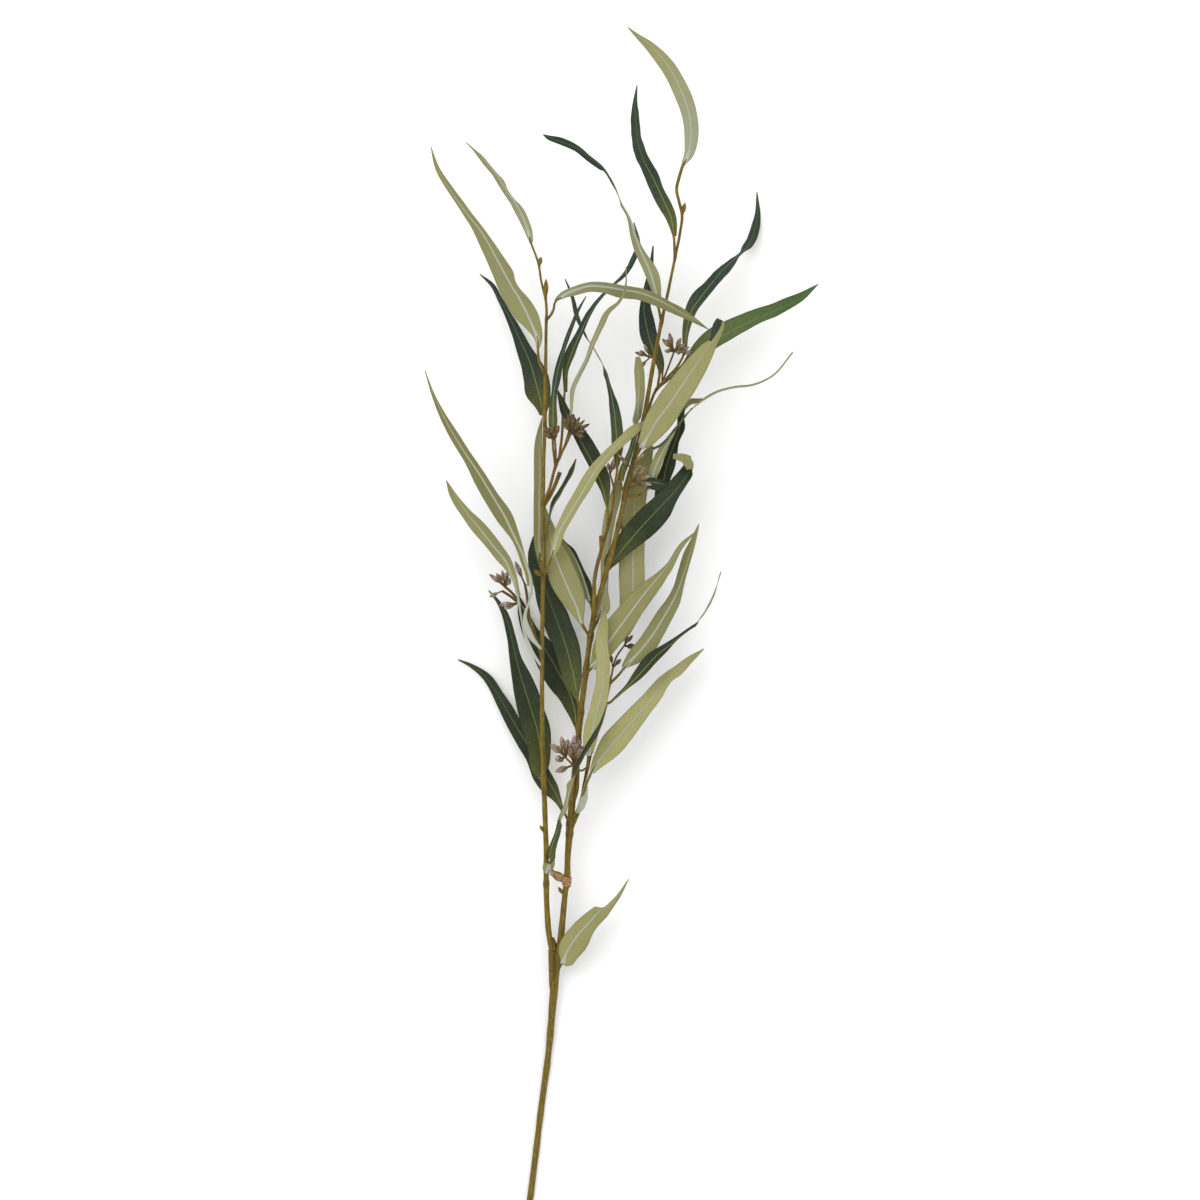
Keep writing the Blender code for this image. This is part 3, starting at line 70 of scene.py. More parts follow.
# A blade's channel, long waves and fine ruffles: their depths as shares of its half width, then their
# lengths. They reach their full depth where the blade is FULL_HALF wider on each side than its stalk.
FULL_HALF = 3 * MM
CHANNEL_DEEP, CHANNEL_CURVE = 0.16, 1.3
WAVE_DEEP, WAVE_LONG, WAVE_SHIFT, WAVE_CURVE = 0.09, 5.5 * MM, 1.9, 1.6
RUFFLE_DEEP, RUFFLE_LONG = 0.035, (3.2, 5.2)
# The blade's own map spans this width and length
MAP_WIDE, MAP_LONG = 0.1, 0.2

# The rib: where it begins before the blade's foot and ends on it, how deep it sits, its widths in
# millimetres at the tip, added towards the foot and added by its sleeve, and its heights in the same order
RIB_BEGIN, RIB_END, RIB_DEEP, RIB_SIDES = 0.86, 0.93, 0.08, 8
RIB_WIDE, RIB_TALL = (0.6, 1.5, 3.2), (0.3, 0.5, 0.5)
RIB_HEIGHT = 0.7 * MM
RIB_MOST = 0.4
SLEEVE_SHARE = 0.05

# The leaf stalk: how far it reaches under the blade, how many millimetres deep it lies there, and its
# widening at the root, then its width as shares of PETIOLE_WIDE and how much it tapers
STALK_REACH, STALK_DEEP, STALK_ROOT = 0.05, 0.3, 1.3
STALK_WIDE, STALK_TAPER = 1.1, 0.4
# Where on a pale stalk its sleeve is thickest, how long it is, and how much it swells on which leaves
SLEEVE_AT, SLEEVE_LONG = 0.24, 0.17
SLEEVES = {"leaf_08": 1.7, "leaf_09": 0.5}

# The stem's skin: swollen darker nodes where pieces leave it, and slow waves in its radius
NODE_LONG, NODE_SWELL, NODE_MOST, NODE_DARK = 2.6 * MM, 0.22, 1.2, 0.6
SKIN_WAVES, SKIN_LONG, SKIN_DEEP = 3, (6, 11), (0.01, 0.025)
ROOT_SWELL = 1.15
END_ROOM = 1 * MM
LEAST_SLANT = 0.3

# Camera: straight down, with the photo's middle in the middle of the picture
PICTURE_MIDDLE = 600
CAMERA_HEIGHT = 8.0
SHARP_HEIGHT = 0.055
LENS_MM, SENSOR_MM = 300, 36

# Stems: their points as x, y, height and diameter
MAIN_ROUTE = [
    (526, 1230, 2.1, 5.0), (530, 1200, 2.1, 5.0), (535, 1160, 2.1, 5.0), (541.5, 1106, 2.1, 5.0),
    (548, 1057, 3.2, 5.2), (550.5, 1030, 5, 5.6), (553, 1000, 8, 6.4), (556, 970, 12, 6.8),
    (560, 945, 15, 5.8), (563, 915, 19, 4.8), (565, 895, 22, 4.8), (567, 880, 24, 5.2),
    (567.5, 860, 27, 5.0), (569, 840, 29, 5.4), (571, 815, 32, 6.0), (573, 790, 35, 5.4),
    (577, 755, 39, 5.2), (580, 720, 42, 4.8), (583, 695, 45, 4.6), (586, 670, 46, 4.4),
    (590, 640, 48, 4.2), (595, 612, 49, 4.2), (604, 580, 50, 4.0), (613, 548, 51, 4.0),
    (621, 515, 52, 4.0), (628, 480, 53, 3.9), (636, 452, 54, 3.8), (645, 412, 55, 3.6),
    (653, 366, 56, 3.4), (660, 329, 57, 3.0), (667, 297, 57.5, 2.4), (675, 258, 59, 2.2),
    (680, 233, 60, 2.3), (682, 215, 61, 2.4), (679, 202, 62, 2.4), (676.5, 190, 63, 2.6),
    (679, 178, 64, 2.6), (682, 168, 65, 2.5),
]
LEFT_ROUTE = [
    (549.5, 941, 15, 4.8), (547, 915, 18, 4.6), (546, 880, 22, 4.4), (546, 850, 26, 4.2),
    (545, 820, 29, 4.2), (544, 790, 32, 4.0), (543, 760, 35, 3.8), (542, 725, 38, 3.6),
    (542, 690, 41, 3.5), (542, 650, 44, 3.4), (542.5, 610, 46, 3.3), (543, 570, 48, 3.2),
    (543, 520, 50, 3.2), (543.5, 465, 52, 3.1), (545, 417, 53, 3.0), (545.5, 375, 54, 2.8),
    (546, 333, 55, 2.5), (546, 302, 56, 2.1), (541, 280, 57, 1.9), (539, 266, 58, 1.8),
    (531, 243, 60, 1.7),
]
TWIG_MIDDLE_ROUTE = [
    (594, 603, 53, 3.2), (594.5, 580, 54, 3.2), (597.5, 564, 55, 3.0), (601.5, 549, 56, 2.7),
    (606, 534, 57, 2.4), (610, 520, 58, 2.1), (613, 505, 59, 1.8), (614, 490, 60, 1.6),
    (610, 474, 61, 1.4),
]
TWIG_LOW_ROUTE = [
    (579, 812, 34, 2.6), (584, 785, 36, 2.5), (590, 758, 37, 2.4), (596, 735, 38, 2.2),
    (602, 716, 40, 1.9), (607, 698, 41, 1.8), (611, 678, 42, 1.6), (617, 656, 42, 1.5),
    (624, 646, 42, 1.4),
]
LEFT_ROOT = (555, 973, 11.5)
TWIG_MIDDLE_ROOT = (592.5, 624, 48.5)
TWIG_LOW_ROOT = (569.5, 834, 30)

# Blades: the carrier, the stalk's share of the length, and the route as x, y and height from the root on
# the carrier. A roll of 0 shows the top of the blade from above and 180 its under side, along the route.
LEAVES = {
    "leaf_01": ("stem_main", 0.08, [
        (682, 168, 65), (688, 155, 66), (691, 135, 68), (688, 111, 70), (680, 89, 71), (663, 60, 70),
        (648, 44, 68), (628, 28, 64)], [(0, 180), (0.5, 190), (1, 200)]),
    "leaf_02": ("stem_main", 0.08, [
        (675, 258, 59), (674, 240, 64), (671, 218, 66), (663, 200, 67), (651, 175, 66), (642, 158, 64),
        (638, 145, 62), (636, 125, 58), (635, 103, 53), (637, 85, 48)],
        [(0, 20), (0.35, 5), (0.62, 50), (0.8, 40), (1, 30)]),
    "leaf_03": ("stem_main", 0.08, [
        (662, 322, 57), (658, 306, 62), (655, 290, 64), (649, 270, 65), (640, 250, 66), (634, 233, 67),
        (629, 218, 68), (621, 203, 68), (616, 190, 67), (609, 177, 65), (602, 167, 63), (590, 158, 60),
        (577, 148, 56), (562, 142, 52), (543, 134, 47)],
        [(0, 180), (0.32, 172), (0.46, 135), (0.54, 92), (0.62, 68), (0.8, 25), (1, 15)]),
    "leaf_04": ("stem_left", 0.13, [
        (546, 319, 55), (551, 315.5, 58), (555, 310, 61), (558, 302, 65), (563, 296.5, 68),
        (575, 291, 72), (590, 287, 76), (605, 288, 79), (622, 291, 81), (640, 294, 82), (660, 302, 82),
        (680, 313, 81), (695, 321, 79), (708, 330, 76)], [(0, 180), (0.5, 192), (1, 185)]),
    "leaf_05": ("stem_left", 0.14, [
        (545.5, 374, 54), (540, 364, 58), (538, 352, 60), (538, 341, 62), (532, 325, 63), (521, 302, 62),
        (508, 280, 60), (495, 256, 56), (482, 233, 51), (465, 211, 45), (449, 188, 38), (437, 167, 31),
        (431, 145, 24)], [(0, 180), (0.5, 172), (1, 165)]),
    "leaf_06": ("stem_left", 0.1, [
        (531, 243, 60), (527, 228, 61), (518, 208, 62), (506, 190, 61), (496, 174, 58), (482, 158, 54),
        (466, 142, 49)], [(0, 180), (0.4, 145), (1, 150)]),
    "leaf_07": ("stem_left", 0.1, [
        (545, 425, 53), (543, 412, 45), (540, 399, 38), (535, 380, 30), (529, 360, 23), (521, 342, 16),
        (512, 322, 9), (502, 303, 3), (492, 287, 0), (479, 272, 0)], [(0, 0), (0.4, 12), (0.8, 0), (1, 0)]),
    "leaf_08": ("stem_left", 0.22, [
        (542, 650, 44), (534, 641, 49), (527, 628, 53), (525, 615, 57), (529, 602, 61), (531, 590, 63),
        (530, 575, 64), (524, 557, 65), (515, 538, 65), (504, 515, 63), (492, 495, 60), (478, 472, 56),
        (463, 450, 52), (446, 421, 46), (434, 395, 41), (425, 370, 36)],
        [(0, 180), (0.25, 150), (0.5, 184), (1, 190)]),
    "leaf_09": ("stem_left", 0.34, [
        (542, 666, 43), (532, 653, 47), (523, 634, 51), (518, 615, 55), (514, 596, 58), (512, 577, 59),
        (506, 562, 59), (495, 548, 58), (483, 533, 55), (470, 517, 51), (458, 500, 47), (446, 480, 42)],
        [(0, 180), (0.5, 176), (1, 170)]),
    "leaf_10": ("stem_left", 0.08, [
        (542.5, 575, 48), (541, 562, 40), (539, 540, 34), (539, 515, 30), (539, 490, 27), (540, 465, 24),
        (541, 440, 21), (543, 417, 18)], [(0, 180), (0.5, 160), (1, 170)]),
    "leaf_11": ("stem_left", 0.08, [
        (543, 537, 49), (548, 524, 53), (553, 507, 57), (562, 492, 60), (570, 477, 62), (576, 459, 63)],
        [(0, 60), (0.5, 66), (1, 60)]),
    "leaf_12": ("stem_main", 0.08, [
        (590.5, 638, 48), (583, 626, 50), (577, 608, 51), (568, 588, 51), (559, 566, 50), (552, 545, 47),
        (549, 525, 44), (546, 507, 42)], [(0, 180), (0.5, 188), (1, 200)]),
    "leaf_13": ("stem_main", 0.08, [
        (594, 616, 49), (590, 602, 43), (586, 588, 40), (580, 570, 39), (572, 553, 38), (562, 538, 37)],
        [(0, 160), (1, 150)]),
    "leaf_14": ("stem_left", 0.1, [
        (543, 578, 48), (549, 564, 56), (554, 549, 62), (559, 533, 67), (569, 515, 71), (583, 492, 74),
        (597, 469, 75), (611, 452, 74), (625, 438, 72), (638, 427, 69), (647, 420, 66)],
        [(0, 180), (0.5, 190), (1, 185)]),
    "leaf_15": ("stem_main", 0.08, [
        (634, 459, 54), (640, 450, 61), (646, 440, 68), (655, 424, 77), (670, 404, 84), (682, 386, 87),
        (695, 367, 88), (708, 347, 86), (717, 334, 84), (723, 322, 81)],
        [(0, 180), (0.5, 186), (0.86, 180), (1, 176)]),
    "leaf_16": ("cluster_a", 0.08, [
        (658, 388, 50.3), (681, 369, 46), (691, 357, 47), (704, 346, 46), (723, 335, 44), (738, 327, 42),
        (755, 319, 39), (775, 310, 35), (798, 299, 30), (819, 283, 24)], [(0, 0), (0.5, 8), (1, 15)]),
    "leaf_17": ("cluster_a", 0.12, [
        (667, 378, 54), (677, 367, 57), (685, 350, 60), (686, 338, 60), (688, 324, 58), (692, 310, 54),
        (700, 298, 49), (710, 285, 42), (721, 271, 33), (733, 259, 23), (745, 248, 13), (753, 235, 6),
        (758, 215, 1), (758, 189, 0)], [(0, 10), (0.35, 8), (0.6, 35), (0.72, 55), (0.84, 30), (1, 10)]),
    "leaf_18": ("cluster_a", 0.08, [
        (658, 387, 52.3), (659, 370, 46), (653, 350, 42), (647, 328, 39), (644, 308, 38), (646, 285, 37),
        (650, 265, 36), (653, 245, 34)], [(0, 0), (0.5, -10), (1, -15)]),
    "leaf_19": ("cluster_c", 0.26, [
        (559, 458, 58), (562, 434, 48), (563, 408, 44), (565, 389, 47), (567, 368, 50), (573, 350, 52),
        (581, 332, 54), (589, 315, 55), (600, 300, 55), (612, 286, 54), (625, 272, 52), (633, 258, 50),
        (639, 243, 47), (634, 222, 43)], [(0, 25), (0.5, 20), (0.66, 68), (0.8, 25), (1, 30)]),
    "leaf_20": ("cluster_c", 0.14, [
        (555, 466, 57), (553, 446, 62), (553, 427, 61), (553, 410, 60), (554, 392, 59), (557, 375, 58),
        (562, 355, 56), (569, 333, 53), (577, 312, 50), (586, 296, 46)], [(0, 10), (0.5, 30), (1, 45)]),
    "leaf_21": ("twig_middle", 0.08, [
        (614, 492, 60), (617, 472, 62), (617, 450, 61), (616, 430, 60), (614, 410, 58), (610, 390, 56),
        (604, 368, 53), (595, 350, 49), (586, 336, 45), (578, 318, 42), (572, 298, 38), (565, 278, 34)],
        [(0, 0), (0.3, 15), (0.48, 62), (0.58, 98), (0.66, 92), (0.78, 40), (1, 40)]),
    "leaf_22": ("cluster_c", 0.08, [
        (566, 444, 63), (570, 427, 61), (571, 408, 64), (573, 392, 68), (578, 376, 73), (586, 360, 79),
        (593, 344, 85), (600, 328, 89), (608, 313, 91), (619, 302, 92), (625, 290, 91), (626, 268, 89)],
        [(0, 120), (0.3, 140), (0.55, 150), (0.78, 110), (1, 100)]),
    "leaf_23": ("twig_middle", 0.1, [
        (607.5, 529, 57), (608, 514, 60), (604, 497, 61), (600, 482, 61), (593, 466, 60), (582, 446, 57),
        (571, 424, 54), (563, 405, 50), (557, 389, 46)], [(0, 0), (0.5, 8), (1, 10)]),
    "leaf_24": ("stem_main", 0.08, [
        (581, 712, 43), (577, 698, 37), (575, 683, 35), (570, 662, 33), (565, 644, 31), (557, 622, 29),
        (549, 600, 26), (543, 580, 23), (537, 560, 19), (533, 536, 14)], [(0, 0), (0.5, 6), (1, 0)]),
    "leaf_25": ("stem_main", 0.08, [
        (591, 634, 48), (597, 622, 43), (602, 606, 41), (606, 585, 40), (607, 560, 39.5), (608.5, 535, 39.5),
        (612, 510, 40), (616, 492, 42), (621, 474, 44)], [(0, 180), (0.5, 184), (1, 180)]),
    "leaf_26": ("stem_main", 0.08, [
        (578, 742, 41), (576, 726, 33), (574, 708, 28), (569, 693, 25), (561, 678, 22), (553, 663, 19),
        (544, 648, 16), (533, 632, 12), (525, 616, 8), (518, 595, 5)], [(0, 0), (0.5, -5), (1, 0)]),
    "leaf_27": ("stem_left", 0.08, [
        (543.5, 792, 32), (542, 776, 27), (541, 757, 27), (538, 735, 27), (531, 710, 26), (523, 685, 25),
        (516, 660, 24), (511, 637, 23), (506, 618, 22), (498, 603, 21), (488, 590, 20)],
        [(0, 0), (0.5, -4), (1, 10)]),
    "leaf_28": ("stem_main", 0.08, [
        (571, 826, 32), (563, 811, 26), (557, 797, 23), (547, 780, 20), (535, 760, 17), (523, 739, 14),
        (512, 721, 11), (503, 705, 8), (494, 690, 6), (482, 675, 4), (470, 666, 3), (457, 660, 2)],
        [(0, 0), (0.5, 8), (1, 0)]),
    "leaf_29": ("stem_left", 0.08, [
        (546, 885, 22), (548, 870, 28), (550, 852, 33), (555, 834, 38), (561, 818, 42), (566, 806, 46),
        (569, 794, 49), (572, 782, 52), (577, 767, 56), (586, 750, 60), (594, 737, 63), (601, 723, 65),
        (607, 705, 67)],
        [(0, 160), (0.06, 145), (0.1, 45), (0.2, 40), (0.3, 60), (0.36, 140), (0.46, 150), (0.54, 110),
         (0.6, 75), (0.75, 60), (1, 60)]),
    "leaf_30": ("twig_low", 0.08, [
        (605, 705, 41), (611, 702, 48), (621, 693, 52), (633, 681, 55), (645, 668, 57), (656, 656, 58),
        (674, 642, 58), (690, 629, 57), (705, 612, 54), (713, 596, 52), (721, 572, 48)],
        [(0, 10), (0.45, 10), (0.62, 60), (0.74, 100), (0.85, 115), (1, 75)]),
    "leaf_31": ("twig_low", 0.12, [
        (587, 772, 36), (588, 760, 46), (589, 748, 51), (592, 733, 56), (597, 712, 61), (602, 690, 65),
        (604, 665, 67), (603, 640, 68), (605, 611, 67)], [(0, 180), (0.5, 176), (1, 165)]),
    "leaf_32": ("stem_main", 0.22, [
        (571, 824, 31), (577, 811, 37), (583, 795, 42), (589, 778, 44), (597, 763, 44), (609, 748, 43),
        (622, 733, 43), (636, 717, 43), (649, 702, 43), (660, 688, 42), (670, 676, 40), (685, 662, 37),
        (704, 649, 33)], [(0, 180), (0.6, 180), (0.76, 215), (0.85, 195), (1, 190)]),
    "leaf_33": ("twig_low", 0.1, [
        (610, 684, 42), (617, 677, 46), (627, 665, 48), (641, 650, 50), (654, 633, 51), (665, 615, 51),
        (676, 595, 51), (684, 573, 50), (691, 552, 49), (699, 524, 46)], [(0, 180), (0.5, 184), (1, 190)]),
    "leaf_34": ("stem_main", 0.08, [
        (585.5, 675, 46), (595, 664, 53), (604, 649, 56), (616, 632, 58), (630, 613, 60), (645, 593, 61),
        (658, 578, 61), (670, 563, 61), (679, 550, 60), (694, 533, 58)],
        [(0, 180), (0.5, 180), (0.78, 225), (0.9, 200), (1, 200)]),
    "leaf_35": ("stem_main", 0.14, [
        (586.5, 667, 46), (600, 658, 39), (616, 645, 35), (627, 628, 35), (632, 603, 36), (633, 575, 36),
        (633, 550, 36), (634, 520, 36), (635, 492, 35), (641, 468, 34), (652, 445, 32)],
        [(0, 180), (0.3, 172), (0.6, 176), (1, 180)]),
    "leaf_36": ("stem_main", 0.08, [
        (604, 578, 50), (609, 567, 44), (618, 555, 44), (630, 540, 48), (645, 523, 55), (660, 507, 62),
        (675, 491, 65), (687, 475, 67), (692, 464, 69), (686, 457, 72), (673, 455, 73)],
        [(0, 0), (0.5, 2), (0.74, 10), (0.86, 90), (0.93, 170), (1, 180)]),
    "leaf_37": ("stem_main", 0.08, [
        (624, 497, 52.5), (638, 495, 48), (649, 486, 50), (655, 468, 53), (664, 449, 55), (672, 434, 57),
        (690, 411, 61), (702, 401, 63), (717, 392, 63), (735, 387, 61), (752, 385, 58), (772, 376, 54),
        (793, 352, 49)], [(0, 180), (0.25, 182), (0.34, 110), (0.42, 80), (0.55, 110), (1, 120)]),
    "leaf_38": ("stem_main", 0.22, [
        (620, 525, 51.5), (621.5, 527, 45), (629, 530, 41), (641, 526, 40.6), (651, 516, 41), (658, 503, 42),
        (662, 488, 43),
        (667, 465, 44), (674, 445, 46), (680, 427, 48), (683, 412, 51), (690, 404, 54), (703, 399, 56)],
        [(0, 0), (0.6, 10), (0.82, 20), (0.9, 90), (1, 165)]),
    "leaf_39": ("stem_main", 0.14, [
        (626.5, 489, 52.8), (640, 484, 55), (649, 482, 56.5), (658, 483, 57), (668, 486, 55.5),
        (680, 492, 52)], [(0, 0), (1, 10)]),
    "leaf_40": ("stem_main", 0.08, [
        (625, 496, 52.5), (621, 485, 58), (622, 472, 60), (627, 459, 61), (632, 446, 58.8), (636, 430, 58.2),
        (638, 405, 61), (639, 380, 61.5), (637, 357, 61)],
        [(0, 10), (0.25, 15), (0.45, 60), (0.58, 130), (0.7, 170), (1, 175)]),
    "leaf_43": ("stem_main", 0.02, [
        (556.5, 974, 11.7), (562, 965, 17), (567, 953, 22), (575, 940, 25.5), (586.5, 926.5, 28),
        (599, 913, 29), (612, 899, 28), (629, 880, 25)], [(0, 180), (0.5, 186), (0.72, 225), (1, 200)]),
}

